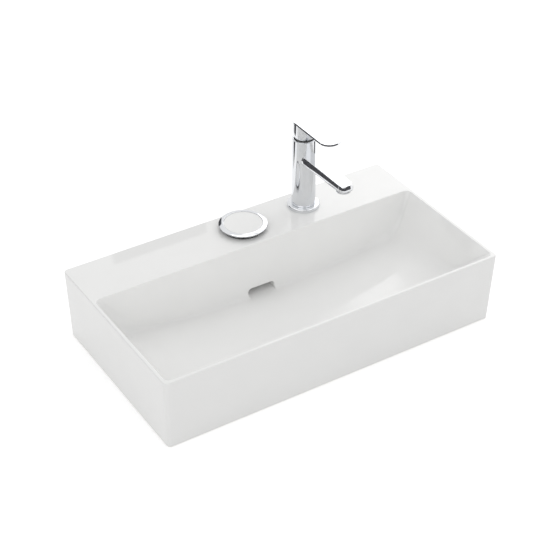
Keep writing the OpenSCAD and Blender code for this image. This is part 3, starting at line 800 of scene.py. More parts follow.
@dataclass
class Basin:
    """The ceramic: a drafted block, a wide bowl, a rear deck and a well under the cap."""

    width: float = 600.0
    depth: float = 330.0
    height: float = 125.0
    side_draft: float = 3.3
    front_draft: float = 5.0
    corner_r: float = 7.0
    edge_r: float = 2.0
    foot_edge: float = 1.2
    clay: float = 9.0
    rim: float = 5.5
    deck: float = 97.0
    # The bowl. Its rings draw together at a point this far behind the bowl's middle.
    bowl_depth: float = 96.5
    wall_lean: float = 20.0
    rear_lean: float = 3.0
    fold: float = 4.0
    rise_side: float = 21.0
    rise_front: float = 10.0
    focus_back: float = 20.0
    bowl_corner: float = 9.0
    lip_r: float = 1.8
    # The walls reach the floor at this share of its depth, and their rings crowd towards it.
    deepest: float = 0.9985
    shallowest: float = 0.001
    crowding: float = 2.3
    lip_clear: float = 1.3
    # The most that a corner takes up of the plan's half width and of its depth.
    corner_most: Flat = (0.8, 0.48)
    # The outlet notch and the roll of its mouth, which eases in above the floor.
    notch_w: float = 49.0
    notch_h: float = 13.0
    notch_r: float = 6.0
    mouth_r: float = 2.4
    mouth_ease: float = 4.0
    mouth_end: Flat = (0.6, -9.0)
    # Well and holes. Each lip is given outwards from its hole and upwards from the deck.
    waste: Flat = WASTE_AXIS
    tap: Flat = TAP_AXIS
    well_r: float = 33.0
    well_floor: float = 25.0
    well_fillet: float = 2.5
    well_lip: tuple[Flat, ...] = ((3.5, 2.0), (1.5, 0.0), (0.45, -0.45), (0.0, -1.5))
    boss_low: float = 17.0
    waste_hole_r: float = 23.0
    waste_hole_edge: float = 0.8
    tap_hole_r: float = 17.5
    tap_lip: tuple[Flat, ...] = ((0.0, -1.0), (0.3, -0.3), (1.0, 0.0), (1.0, 2.0))
    pad_r: float = 26.0
    pad_t: float = 3.0
    wall_hole_r: float = 7.5
    wall_hole_x: float = 140.0
    wall_hole_z: float = 72.0
    wall_boss: float = 5.4
    # Facets, degrees of each facet of the lip, and plain rings on the faces at shares of the height.
    face_shares: tuple[float, ...] = (0.25, 0.5, 0.75)
    lip_turn: int = 10
    arc_steps: int = 16
    edge_steps: int = 24
    side_steps: int = 12
    roll_steps: int = 8
    depth_steps: int = 56
    floor_steps: int = 16
    under_steps: int = 24
    notch_steps: int = 16
    mouth_steps: int = 6
    well_steps: int = 128
    wall_tries: int = 6
    # How far a tool reaches past a face, how far helper solids run into each other, and the space's foot.
    past: float = 2.0
    bite: float = 1.0
    space_low: float = -5.0

    def __post_init__(self) -> None:
        """Works out the bowl's place from the outer sizes."""
        self.front_y = -self.depth / 2
        self.wall_y = self.depth / 2
        self.bowl_half = self.width / 2 - self.rim
        self.bowl_front = self.front_y + self.rim
        self.bowl_rear = self.wall_y - self.deck
        self.bowl_len = self.bowl_rear - self.bowl_front
        self.focus = (self.bowl_rear + self.bowl_front) / 2 + self.focus_back
        self.shallow = self.lip_r / self.bowl_depth

    def run(self, share: float, lean: float, extra: float) -> float:
        """How far in from the rim a leaning wall has reached at a share of its depth."""
        steep = math.tan(math.radians(lean)) * (self.bowl_depth + extra)
        return steep * (max(share, self.shallowest) ** -self.fold - 1) ** (-1 / self.fold)

    def floor(self, x: float, y: float, extra: float) -> float:
        """Depth of the floor under one point."""
        return (self.bowl_depth + extra - self.rise_side * (x / self.bowl_half) ** 2
                - self.rise_front * (self.bowl_rear - y) / self.bowl_len)

    def shares(self, steps: int) -> list[float]:
        """Shares of the depth from the rim down, crowded towards the floor."""
        return [self.deepest * (1 - (1 - i / steps) ** self.crowding) for i in range(steps + 1)]

    def soft_rect(self, hx: float, y0: float, y1: float, rx: float, r0: float, r1: float) -> list[Flat]:
        """Rectangle with elliptic corners, going round from the right.

        Args:
            hx: Half its width.
            y0: Its front.
            y1: Its rear.
            rx: Width of each corner.
            r0: Depth of the front corners.
            r1: Depth of the rear corners.

        Returns:
            The points in order.
        """
        x = hx - rx
        corners = [arc((cx, cy), (rx, ry), start, start + 90, self.arc_steps)
                   for cx, cy, ry, start in ((x, y1 - r1, r1, 0), (-x, y1 - r1, r1, 90),
                                             (-x, y0 + r0, r0, 180), (x, y0 + r0, r0, 270))]
        out: list[Flat] = []
        for i, corner in enumerate(corners):
            steps = self.side_steps if i % 2 else self.edge_steps
            out += corner + along(corner[-1], corners[(i + 1) % 4][0], steps)
        return out

    def bowl_plan(self, share: float, flare: float, extra: float) -> list[Flat]:
        """Plan of the bowl at a share of its depth.

        Args:
            share: Share of the depth.
            flare: How far the plan is flared outwards.
            extra: Thickness added outside the bowl's surface.

        Returns:
            The plan's points.
        """
        side, back = (self.run(share, lean, extra) - flare - extra / math.cos(math.radians(lean))
                      for lean in (self.wall_lean, self.rear_lean))
        hx, y0, y1 = self.bowl_half - side, self.bowl_front + side, self.bowl_rear - back
        base = self.bowl_corner + extra + flare
        front, rear = base + max(side, 0), base + max(back, 0)
        widest, most = self.corner_most[0] * hx, self.corner_most[1] * (y1 - y0)
        return self.soft_rect(hx, y0, y1, min(front, widest), min(front, most), min(rear, most))

    def bowl_ring(self, share: float, turn: float, extra: float = 0.0) -> list[Point]:
        """Ring on the bowl's surface.

        Args:
            share: Share of the depth.
            turn: How far it is rolled over the rim, in degrees.
            extra: Thickness added outside the surface.

        Returns:
            The ring's points.
        """
        rise = 1 - math.sin(math.radians(turn))
        flare = 0.0 if extra else self.lip_r * (1 - math.cos(math.radians(turn)))
        return [(x, y, self.height - share * self.floor(x, y, extra) * rise)
                for x, y in self.bowl_plan(share, flare, extra)]

    def floor_rings(self, steps: int, extra: float = 0.0) -> list[list[Point]]:
        """The deepest ring drawn together in steps, ending in one point.

        Args:
            steps: Number of steps.
            extra: Thickness added outside the surface.

        Returns:
            The rings, and last a ring of one point.
        """
        plan = self.bowl_plan(self.deepest, 0.0, extra)
        rings = []
        for k in range(1, steps + 1):
            keep = 1 - k / steps
            drawn = [(x * keep, self.focus + (y - self.focus) * keep) for x, y in plan]
            rings.append([(x, y, self.height - self.deepest * self.floor(x, y, extra)) for x, y in drawn])
        return rings[:-1] + [rings[-1][:1]]

    def block_ring(self, z: float, inset: float) -> list[Point]:
        """Ring round the drafted block.

        Args:
            z: Its height.
            inset: How far it lies inside the faces.

        Returns:
            The ring's points.
        """
        lean = max(0.0, 1 - z / (self.height - self.edge_r))
        hx = self.width / 2 - self.side_draft * lean - inset
        y0 = self.front_y + self.front_draft * lean + inset
        r = self.corner_r - inset
        return [(x, y, z) for x, y in self.soft_rect(hx, y0, self.wall_y - inset, r, r, r)]

    def outside(self) -> Shell:
        """Block and bowl as one closed skin, from the foot over the rim to the floor.

        Returns:
            The shell, without the holes and the space under it.
        """
        foot, edge = self.foot_edge, self.edge_r
        levels = arc((foot, foot), (foot, foot), 270, 180, self.roll_steps)
        levels += [(0.0, self.height * k) for k in self.face_shares]
        levels += arc((edge, self.height - edge), (edge, edge), 180, 90, self.roll_steps)
        rings = [self.block_ring(z, inset) for inset, z in levels]
        rings += [self.bowl_ring(self.shallow, turn) for turn in range(90, -1, -self.lip_turn)]
        rings += [self.bowl_ring(share, 0) for share in self.shares(self.depth_steps)
                  if share > self.shallow * self.lip_clear]
        return Shell().pouch(rings + self.floor_rings(self.floor_steps))

    def wall_rods(self, r: float, start: float, end: float) -> list[Shell]:
        """Rods along the axes of the two holes in the rear wall."""
        return [Shell().rod_y(r, start, end, x, self.wall_hole_z)
                for x in (-self.wall_hole_x, self.wall_hole_x)]

    def underside(self) -> bpy.types.Object:
        """Space under the bowl and the deck, as a solid to cut away.

        Returns:
            A helper object.
        """
        hx = self.width / 2 - self.side_draft - self.clay
        y0 = self.front_y + self.front_draft + self.clay
        y1 = self.wall_y - self.clay
        ceiling = self.height - self.clay
        over, r = ceiling + self.bite, self.corner_r
        space = Shell().prism(self.soft_rect(hx, y0, y1, r, r, r), self.space_low, ceiling).piece("space")
        rings = [self.bowl_ring(share, 0, self.clay) for share in self.shares(self.under_steps)]
        skin = Shell().pouch(rings + self.floor_rings(self.floor_steps // 2, self.clay))
        r, web_y = self.well_r, self.waste[1] + self.clay
        web = [(-r, self.bowl_rear), (r, self.bowl_rear), (r, web_y), (-r, web_y)]
        solids = [skin, Shell().rod_z(r + self.clay, self.boss_low, over, self.waste),
                  Shell().prism(web, self.boss_low, over),
                  Shell().rod_z(self.pad_r, ceiling - self.pad_t, over, self.tap)]
        solids += self.wall_rods(self.wall_hole_r + self.clay, y1 - self.wall_boss, y1 + self.bite)
        for solid in solids:
            carve(space, solid.piece("solid"), Cut.TAKE)
        return space

    def wall_at(self, x: float, z: float) -> float:
        """Finds where the bowl's rear wall stands.

        Args:
            x: Place along the wall.
            z: Height.

        Returns:
            Its Y, or a place well in front of the wall where the floor is reached.
        """
        y, front = self.bowl_rear, self.bowl_rear - 2 * self.clay
        # The floor's depth depends on the place that is sought, so it is closed in on.
        for _ in range(self.wall_tries):
            share = (self.height - z) / self.floor(x, y, 0)
            if share >= self.deepest:
                return front
            y = self.bowl_rear - self.run(share, self.rear_lean, 0)
        return max(y, front)

    def notch(self) -> Shell:
        """Outlet through the foot of the rear wall, its mouth rolled into the wall.

        Returns:
            The tool that cuts it.
        """
        low = self.height - self.deepest * self.floor(0, self.bowl_rear - 2 * self.clay, 0)
        half, top, r = self.notch_w / 2, low + self.notch_h, self.notch_r
        count = self.mouth_steps
        sides = [low + (self.notch_h - r) * i / count for i in range(count + 1)]
        plan = [(half, z, 1.0, 0.0) for z in sides]
        plan += [(half - r + r * nx, top - r + r * nz, nx, nz)
                 for nx, nz in arc((0, 0), (1, 1), 0, 90, self.roll_steps)[1:]]
        plan += [(x, top, 0.0, 1.0) for x, _ in along((half - r, top), (r - half, top), self.notch_steps)]
        plan += [(r - half + r * nx, top - r + r * nz, nx, nz)
                 for nx, nz in arc((0, 0), (1, 1), 90, 180, self.roll_steps)]
        plan += [(-half, z, -1.0, 0.0) for z in reversed(sides[:-1])]
        shell = Shell()
        rings = [shell.ring((x, self.waste[1], z) for x, z, _, _ in plan)]
        roll = self.mouth_r
        mouth = arc((roll, roll), (roll, roll), 180, 270, count)
        for spread, back in mouth + [(roll + self.mouth_end[0], self.mouth_end[1])]:
            ring = []
            for x, z, nx, nz in plan:
                reach = spread * min(1.0, max(0.0, (z - low) / self.mouth_ease))
                ring.append((x + nx * reach, self.wall_at(x, z) + back, z + nz * reach))
            rings.append(shell.ring(ring))
        return shell.stack(rings, caps=True)

    def build(self) -> None:
        """Makes the basin and cuts its well, holes and underside."""
        piece = self.outside().piece("china_basin")
        carve(piece, self.underside(), Cut.TAKE)
        top, low = self.height + self.past, -self.past
        well_lip, tap_lip = ([(r + out, self.height + up) for out, up in lip]
                             for r, lip in ((self.well_r, self.well_lip), (self.tap_hole_r, self.tap_lip)))
        well = soft([(0, top, 0)] + [(r, z, 0) for r, z in well_lip]
                    + [(self.well_r, self.well_floor, self.well_fillet),
                       (self.waste_hole_r, self.well_floor, self.waste_hole_edge),
                       (self.waste_hole_r, low, 0), (0, low, 0)])
        tap_hole = [(0, low), (self.tap_hole_r, low)] + tap_lip + [(0, top)]
        tools = [Shell().turn(well, self.waste, self.well_steps), Shell().turn(tap_hole, self.tap),
                 self.notch()]
        start = self.wall_y - self.clay - self.wall_boss - self.bite
        tools += self.wall_rods(self.wall_hole_r, start, self.wall_y + self.bite)
        for tool in tools:
            carve(piece, tool.piece("tool"), Cut.TAKE)
        settle(piece, Body.ROOT, "glazed_ceramic", ["basin"], 35)


@dataclass
class Waste:
    """Waste under the cap: threaded body, its nut, and the sprung plunger with the standpipe."""

    axis: Flat = WASTE_AXIS
    flange_r: float = 30.5
    flange_low: float = 26.5
    flange_top: float = 28.5
    nut_zone_r: float = 20.655
    tail_r: float = 20.955
    tail_low: float = 2.0
    tail_top: float = 8.5
    tail_lead: float = 1.2
    # Pipe thread of eleven turns to the inch.
    pitch: float = 2.309
    thread_depth: float = 1.1
    bore: float = 17.5
    bore_lead: float = 0.4
    throat: float = 3.0
    # The bridge: six webs that run into the tube's wall.
    hub_r: float = 7.5
    hub_bore: float = 4.5
    web_w: float = 3.0
    web_bite: float = 0.6
    web_neck: float = 1.2
    web_ease: float = 1.0
    bridge_top: float = 14.5
    nut_r: float = 31.5
    nut_top: float = 15.0
    nut_bore: float = 20.705
    # The spring: its two end turns are closed, a little more than one wire apart.
    coil_r: float = 4.4
    wire_r: float = 0.35
    coil_low: float = 16.95
    coil_high: float = 26.95
    coil_turns: float = 6.0
    closed_turns: float = 0.9
    closed_rise: float = 2.1
    turn_steps: int = 28
    wire_steps: int = 10
    travel: float = 4.0
    plain: tuple[str, ...] = ("waste_upper_seal", "waste_lower_seal", "click_housing", "click_plunger",
                              "standpipe", "plug_seal", "stem_rod")

    def bridge(self) -> Shell:
        """Hub and six webs that carry the click mechanism.

        Returns:
            The bridge, reaching a little into the tube.
        """
        half, out, neck = self.web_w / 2, self.bore + self.web_bite, self.hub_r + self.web_neck
        spread = math.degrees(math.asin((half + self.web_ease) / self.hub_r))
        plan: list[Flat] = []
        for turn in range(0, 360, 60):
            angle = math.radians(turn)
            cos, sin = math.cos(angle), math.sin(angle)
            arm = ((neck, -half), (out, -half), (out, half), (neck, half))
            plan += [(x * cos - y * sin, x * sin + y * cos) for x, y in arm]
            plan += arc((0, 0), (self.hub_r, self.hub_r), turn + spread, turn + 60 - spread, 6)
        return Shell().prism(shifted(plan, self.axis), self.tail_top, self.bridge_top)

    def tube(self) -> Shell:
        """Flange, plain nut zone and screwed tail, bored through.

        Returns:
            The tube.
        """
        shell = Shell()
        low, high, lead = self.tail_low, self.flange_top, self.bore_lead
        mouth = [(self.bore, low + lead), (self.bore + lead, low), (self.tail_r - self.tail_lead, low)]
        flange = soft([(self.nut_zone_r, self.tail_top, 0), (self.nut_zone_r, self.flange_low, 0.4),
                       (self.flange_r, self.flange_low, 0.3), (self.flange_r, high, 0.8),
                       (self.bore, high, 1.2), (self.bore, high - self.throat, 0)])
        rings = [shell.circle(r, z, self.axis) for r, z in mouth]
        rings += shell.thread(self.tail_r, self.thread_depth, self.pitch, low + 0.2, self.tail_top - 0.1,
                              self.axis, 96)
        rings += [shell.circle(r, z, self.axis) for r, z in flange]
        return shell.stack(rings, loop=True)

    def coil(self) -> Shell:
        """Spring of round wire with closed end turns.

        Returns:
            The spring.
        """
        shell, wire = Shell(), (self.wire_r, self.wire_r)
        closed, dead = self.closed_turns, self.closed_rise * self.wire_r
        free = self.coil_turns - 2 * closed
        rise = (self.coil_high - self.coil_low - 2 * dead) / free
        steps = round(self.coil_turns * self.turn_steps)
        rings = []
        for k in range(steps + 1):
            done = self.coil_turns * k / steps
            ends = min(done, closed) + max(0.0, done - self.coil_turns + closed)
            z = self.coil_low + ends / closed * dead + min(max(0.0, done - closed), free) * rise
            section = arc((self.coil_r, z), wire, 0, 360, self.wire_steps)[:-1]
            rings.append(shell.ring((*polar(self.axis, r, math.tau * done), up) for r, up in section))
        return shell.stack(rings, caps=True)

    def build(self) -> None:
        """Makes the waste and its spring and dresses what the CAD already shows well."""
        body = self.tube().piece("waste_tube")
        carve(body, self.bridge().piece("bridge"), Cut.ADD)
        bore = Shell().rod_z(self.hub_bore, 0, self.bridge_top + 1, self.axis, 48)
        carve(body, bore.piece("bore"), Cut.TAKE)
        settle(body, Body.ROOT, "waste_chrome", ["waste_body"])
        nut = Shell().nut(self.nut_r, 8, self.tail_top, self.nut_top, self.nut_bore, self.axis)
        settle(nut.piece("back_nut"), Body.ROOT, "waste_chrome", ["waste_backnut"], 20)
        coil = self.coil().piece("click_coil")
        settle(coil, Body.ROOT, "steel", ["click_spring"])
        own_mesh(coil)
        dress(*self.plain)


@dataclass
class Cap:
    """Press cap on the deck: a chromed ring with a low crown round a ceramic disc."""

    axis: Flat = WASTE_AXIS
    low: float = 129.9
    r: float = 40.0
    height: float = 3.8
    edge_r: float = 0.8
    undercut: float = 2.0
    under_edge: float = 0.15
    top: float = 5.1
    # How the crown falls to the side: 1 is a plain slope, more stays flat for longer.
    crown: float = 1.8
    crown_edge: float = 0.35
    disc_r: float = 31.85
    disc_gap: float = 0.1
    dome: float = 0.22
    dome_share: float = 0.97
    dome_power: int = 3
    dome_steps: int = 8
    crown_steps: int = 10
    joint: float = 0.35
    tray: float = 1.3
    boss_r: float = 8.0
    boss_h: float = 12.0
    rod_r: float = 3.05
    rod_top: float = 1.1
    groove: tuple[float, float, float] = (34.3, 37.1, 0.6)
    facets: int = 160

    def ring(self) -> Shell:
        """Ring, tray and boss as one turned piece.

        Returns:
            The ring.
        """
        well = self.disc_r + self.joint
        inner, outer = well + self.crown_edge, self.r - self.edge_r
        groove_in, groove_out, groove_top = self.groove
        low = soft([(self.rod_r, self.rod_top, 0), (self.rod_r, -self.boss_h, 0.4),
                    (self.boss_r, -self.boss_h, 0.6), (self.boss_r, 0, 0.8), (groove_in, 0, 0),
                    (groove_in, groove_top, 0), (groove_out, groove_top, 0), (groove_out, 0, 0),
                    (self.r - self.undercut, 0, 0)], 4)
        side = [(self.r - self.undercut + self.under_edge, self.under_edge),
                (self.r, self.height - self.edge_r)]
        edge = arc((outer, self.height - self.edge_r), (self.edge_r, self.edge_r), 0, 90, 8)[1:-1]
        fall, count = self.top - self.height, self.crown_steps
        shares = [i / count for i in range(count, -1, -1)]
        over = [(inner + (outer - inner) * k, self.top - fall * k ** self.crown) for k in shares]
        tray = [(well + 0.1, self.top - 0.1), (well, self.top - self.crown_edge),
                (well, self.tray), (0, self.tray)]
        profile = [(0, self.rod_top)] + low + side + edge + over + tray
        return Shell().turn(shifted(profile, (0, self.low)), self.axis, self.facets)

    def disc(self) -> Shell:
        """Ceramic disc with a soft edge and a hint of a dome.

        Returns:
            The disc.
        """
        base, top, r = self.tray + self.disc_gap, self.top, self.disc_r
        shares = [1 - i / self.dome_steps for i in range(self.dome_steps + 1)]
        dome = [(r * self.dome_share * k, top - self.dome * k ** self.dome_power) for k in shares]
        edge = soft([(0, base, 0), (r, base, 0.4), (r, top - 0.3, 0.55),
                     (dome[0][0] - 1, dome[0][1] + 0.02, 0)], 6)
        return Shell().turn(shifted(edge[:-1] + dome[1:], (0, self.low)), self.axis, self.facets)

    def build(self) -> None:
        """Makes the ring and the disc and dresses the rubber under them."""
        settle(self.ring().piece("cap_rim"), Body.PLUG, "chrome", ["cap_ring"])
        settle(self.disc().piece("cap_disc"), Body.PLUG, "glazed_ceramic", ["cap_insert"])
        dress("cap_seal")


@dataclass
class Mixer:
    """Tap: a round body with a flat spout, its foot ring, outlet and fixing."""

    centre: Flat = TAP_AXIS
    body_r: float = 20.0
    body_low: float = 131.2
    body_top: float = 254.0
    body_edge: float = 0.6
    spigot_r: float = 17.2
    spigot_low: float = 122.0
    # The spout, with the hollow flanks that carry its sides into the body.
    bar_half: float = 13.5
    bar_top: float = 229.0
    bar_low: float = 213.5
    slope: float = 0.02326
    reach: float = 129.0
    tip_r: float = 10.5
    top_r: float = 0.5
    side_low: float = 219.0
    side_tilt: float = 25.0
    under_r: float = 4.0
    flank_r: float = 12.0
    # Radius and floor of each step of the cartridge's cavity, and of the outlet's.
    recess: tuple[Flat, ...] = ((17.1, 247.0), (15.6, 240.5), (14.05, 228.2))
    room: tuple[Flat, ...] = ((10.45, 221.66), (10.5, 225.0))
    outlet_y: float = -114.5
    hose_x: float = 7.2
    hose_y: float = -3.0
    hose_r: float = 4.5
    bore_top: float = 136.0
    bore_low: float = 120.0
    room_low: float = 205.0
    # The stud of M8 by 1.25 and its nut.
    stud_y: float = 9.5
    stud_r: float = 4.0
    stud_low: float = 65.0
    stud_top: float = 135.5
    stud_pitch: float = 1.25
    stud_depth: float = 0.65
    stud_lead: float = 0.9
    stud_blank: float = 0.4
    stud_facets: int = 32
    nut_corner: float = 7.52
    nut_low: float = 101.5
    nut_top: float = 108.0
    nut_lead: float = 0.5
    # The foot ring is a turned cup, open below.
    foot_r: float = 27.3
    foot_wall: float = 0.5
    foot_low: float = 125.1
    foot_under: float = 126.2
    foot_top: float = 131.1
    foot_edge: float = 2.6
    foot_bore: float = 17.25
    collar_r: float = 12.0
    collar_low: float = 213.66
    collar_top: float = 215.78
    aerator_bore: float = 8.7
    running_gap: float = 0.05
    # Inner and outer radius, lower and upper face of the rubber in the gap under the handle: a dust seal
    # whose dark ring is also painted shade over the lit nut below.
    seal_and_shade: tuple[float, float, float, float] = (12.7, 16.95, 249.65, 250.1)
    facets: int = 72
    front_facets: int = 24
    foot_facets: int = 128
    drill_facets: int = 64
    bend_steps: int = 10
    side_steps: int = 8
    edge_steps: int = 6
    fine_steps: int = 5
    # Heights of plain rings on the body, below the spout and above it.
    below: tuple[float, ...] = (205.0, 180.0, 150.0)
    above: tuple[float, ...] = (234.0, 240.0)
    plain: tuple[str, ...] = (
        "base_seal", "rubber_washer", "clamp_plate", "aerator_insert", "aerator_seal", "cartridge_housing",
        "cartridge_base", "inlet_seals", "fixed_disc", "moving_disc", "disc_carrier", "rotor", "stem_pin",
        "cartridge_nut")

    def at(self, x: float, y: float) -> Flat:
        """Place given from the tap's own axis."""
        return (self.centre[0] + x, self.centre[1] + y)

    def outline(self, inset: float) -> list[Flat]:
        """Bar of the spout seen from above, from the body round the tip and back.

        Args:
            inset: How far it lies inside the full outline.

        Returns:
            Points from the body's right side to its left.
        """
        turn_x = self.bar_half + self.flank_r
        far = self.body_r + self.flank_r
        turn_y = -math.sqrt(far ** 2 - turn_x ** 2)
        hollow = self.flank_r + inset
        inward = (far ** 2 + self.body_r ** 2 - hollow ** 2) / (2 * far)
        across = math.sqrt(max(0.0, self.body_r ** 2 - inward ** 2))
        start = ((turn_x * inward + turn_y * across) / far, (turn_y * inward - turn_x * across) / far)
        first = math.degrees(math.atan2(start[1] - turn_y, start[0] - turn_x)) % 360
        tip_y, r = self.tip_r - self.reach, self.tip_r - inset
        right = [start] + arc((turn_x, turn_y), (hollow, hollow), first, 180, self.bend_steps)[1:]
        right += along(right[-1], (self.bar_half - inset, tip_y), self.side_steps)
        right += arc((self.bar_half - self.tip_r, tip_y), (r, r), 0, -90, self.bend_steps)
        return right + [(-x, y) for x, y in reversed(right)]

    def belt(self, start: Flat, front: bool, steps: int) -> list[Flat]:
        """Points of the body's circle between the two sides of the spout, without its ends.

        Args:
            start: Where the spout's right side meets the body.
            front: True for the arc under or over the spout, False for the rest of the circle.
            steps: Facets of the arc.

        Returns:
            From right to left for the front arc, from left to right for the other.
        """
        right = math.degrees(math.atan2(start[1], start[0]))
        left = -180 - right
        first, last = (right, left) if front else (left + 360, right)
        return arc((0, 0), (self.body_r, self.body_r), first, last, steps)[1:-1]

    def under(self, y: float) -> float:
        """Height of the spout's underside, which rises towards its tip."""
        return self.bar_low - y * self.slope

    def flank(self) -> list[Flat]:
        """The spout's side, which leans in towards a fine top edge.

        Returns:
            Inset and height of each point, from below.
        """
        tilt, fine = math.radians(self.side_tilt), self.top_r
        bulge = (self.bar_top - fine * (1 - math.sin(tilt)) - self.side_low) / math.sin(tilt)
        lean = 180 - self.side_tilt
        side = arc((bulge, self.side_low), (bulge, bulge), 180, lean, self.edge_steps)
        middle = (side[-1][0] + fine * math.cos(tilt), self.bar_top - fine)
        return side + arc(middle, (fine, fine), lean, 90, self.fine_steps)[1:]

    def body(self) -> Shell:
        """Body, spout, spigot and the cavity for the cartridge as one closed skin.

        Returns:
            The casting, without the holes.
        """
        shell, r = Shell(), self.under_r
        low_edge = arc((r, r), (r, r), 270, 180, self.edge_steps)
        levels = [(inset, rise, True) for inset, rise in low_edge]
        levels += [(inset, z, False) for inset, z in self.flank()]
        rings, plans = [], []
        for inset, rise, on_slope in levels:
            plan = self.outline(inset)
            sides = len(plan)
            plan += self.belt(plan[0], False, self.facets)
            rings.append(shell.ring((x, y, self.under(y) + rise if on_slope else rise) for x, y in plan))
            plans.append(plan)
        shell.stack(rings)
        ends = ((rings[0], plans[0], self.low_profile(), True),
                (rings[-1], plans[-1], self.high_profile(), False))
        for ring, plan, profile, low in ends:
            belt = self.belt(plan[0], True, self.front_facets)
            front = shell.ring((x, y, self.under(y) if low else self.bar_top) for x, y in belt)
            shell.cap(ring[:sides] + front[::-1])
            circle = [ring[0]] + front + ring[sides - 1:]
            turns = [math.atan2(shell.points[i][1], shell.points[i][0]) for i in circle]
            stack = [circle] + [shell.level([polar((0, 0), r, a) for a in turns], z) for r, z in profile]
            shell.stack(stack)
            shell.cap(stack[-1])
        shell.points = [(x + self.centre[0], y + self.centre[1], z) for x, y, z in shell.points]
        return shell

    def low_profile(self) -> list[Flat]:
        """Goes from the spout down to the end of the spigot.

        Returns:
            Radius and height of each point.
        """
        *plain, last = self.below
        foot = soft([(self.body_r, last, 0), (self.body_r, self.body_low, 0.5),
                     (self.spigot_r, self.body_low, 0), (self.spigot_r, self.spigot_low, 0.5),
                     (self.spigot_r - 2, self.spigot_low, 0)], 4)
        return [(self.body_r, z) for z in plain] + foot

    def high_profile(self) -> list[Flat]:
        """Goes from the spout over the rim to the floor of the cavity.

        Returns:
            Radius and height of each point.
        """
        (wide, ledge), (screw, shelf), (room, floor) = self.recess
        *plain, last = self.above
        rim = soft([(self.body_r, last, 0), (self.body_r, self.body_top, self.body_edge),
                    (wide, self.body_top, 0.3), (wide, ledge, 0)], 4)
        cavity = [(screw, ledge), (screw, shelf), (room, shelf), (room, floor)]
        return [(self.body_r, z) for z in plain] + rim + cavity

    def drill(self, piece: bpy.types.Object, place: Flat, steps: Sequence[Flat], low: float) -> None:
        """Drills a stepped hole upwards into the casting.

        Args:
            piece: The casting.
            place: Axis of the hole, from the tap's own axis.
            steps: Radius and top of each step, from the mouth up.
            low: Height below its mouth.
        """
        profile, mouth = [(0.0, low)], low
        for r, top in steps:
            profile += [(r, mouth), (r, top)]
            mouth = top
        profile.append((0.0, mouth))
        drill = Shell().turn(profile, self.at(*place), self.drill_facets)
        carve(piece, drill.piece("drill"), Cut.TAKE)

    def stud(self, place: Flat) -> Shell:
        """Stud that holds the tap down, threaded from end to end.

        Args:
            place: Its axis.

        Returns:
            The stud.
        """
        shell = Shell()
        low, high = (shell.circle(self.stud_r - self.stud_lead, z, place, self.stud_facets)
                     for z in (self.stud_low, self.stud_top))
        thread = shell.thread(self.stud_r, self.stud_depth, self.stud_pitch, self.stud_low + self.stud_blank,
                              self.stud_top - self.stud_blank, place, self.stud_facets)
        return shell.stack([low] + thread + [high], caps=True)

    def build(self) -> None:
        """Makes the casting, the foot ring, the outlet and the fixing, and dresses the rest."""
        casting = self.body().piece("tap_casting")
        bore = self.stud_r + self.running_gap
        self.drill(casting, (0, self.outlet_y), self.room, self.room_low)
        for x, y, r in ((-self.hose_x, self.hose_y, self.hose_r), (self.hose_x, self.hose_y, self.hose_r),
                        (0, self.stud_y, bore)):
            self.drill(casting, (x, y), [(r, self.bore_top)], self.bore_low)
        settle(casting, Body.ROOT, "chrome", ["tap_body"])
        inside = self.foot_r - self.foot_wall
        foot = soft([(self.foot_bore, self.foot_under, 0), (inside, self.foot_under, 0),
                     (inside, self.foot_low, 0), (self.foot_r, self.foot_low, 0.1),
                     (self.foot_r, self.foot_top, self.foot_edge), (self.foot_bore, self.foot_top, 0)], 6)
        foot_ring = Shell().turn(foot, self.centre, self.foot_facets, loop=True)
        settle(foot_ring.piece("foot_ring"), Body.ROOT, "chrome", ["base_ring"])
        neck, neck_top = self.room[0][0] - self.running_gap, self.room[0][1]
        collar = soft([(self.aerator_bore, self.collar_low, 0.3), (self.collar_r, self.collar_low, 0.5),
                       (self.collar_r, self.collar_top, 0.2), (neck, self.collar_top, 0),
                       (neck, neck_top, 0.2), (self.aerator_bore, neck_top, 0)], 5, True)
        outlet = Shell().turn(collar, self.at(0, self.outlet_y), loop=True)
        settle(outlet.piece("outlet_collar"), Body.ROOT, "chrome", ["aerator_housing"])
        place = self.at(0, self.stud_y)
        settle(self.stud(place).piece("fixing_stud"), Body.ROOT, "steel", ["mounting_stud"])
        nut = Shell().nut(self.nut_corner, 6, self.nut_low, self.nut_top, bore, place, self.nut_lead)
        settle(nut.piece("fixing_nut"), Body.ROOT, "brass", ["stud_nut"], 20)
        # Dark rubber ring: a dust seal, and painted shade that hides the lit cartridge nut in the gap.
        inner, outer, low, high = self.seal_and_shade
        seal_and_shade = soft([(inner, low, 0.1), (outer, low, 0.1), (outer, high, 0.15), (inner, high, 0.15)], 2, True)
        seal_and_shade_ring = Shell().turn(seal_and_shade, self.centre, loop=True)
        settle(seal_and_shade_ring.piece("seal_and_shade_ring"), Body.ROOT, "rubber", [])
        dress(*self.plain)


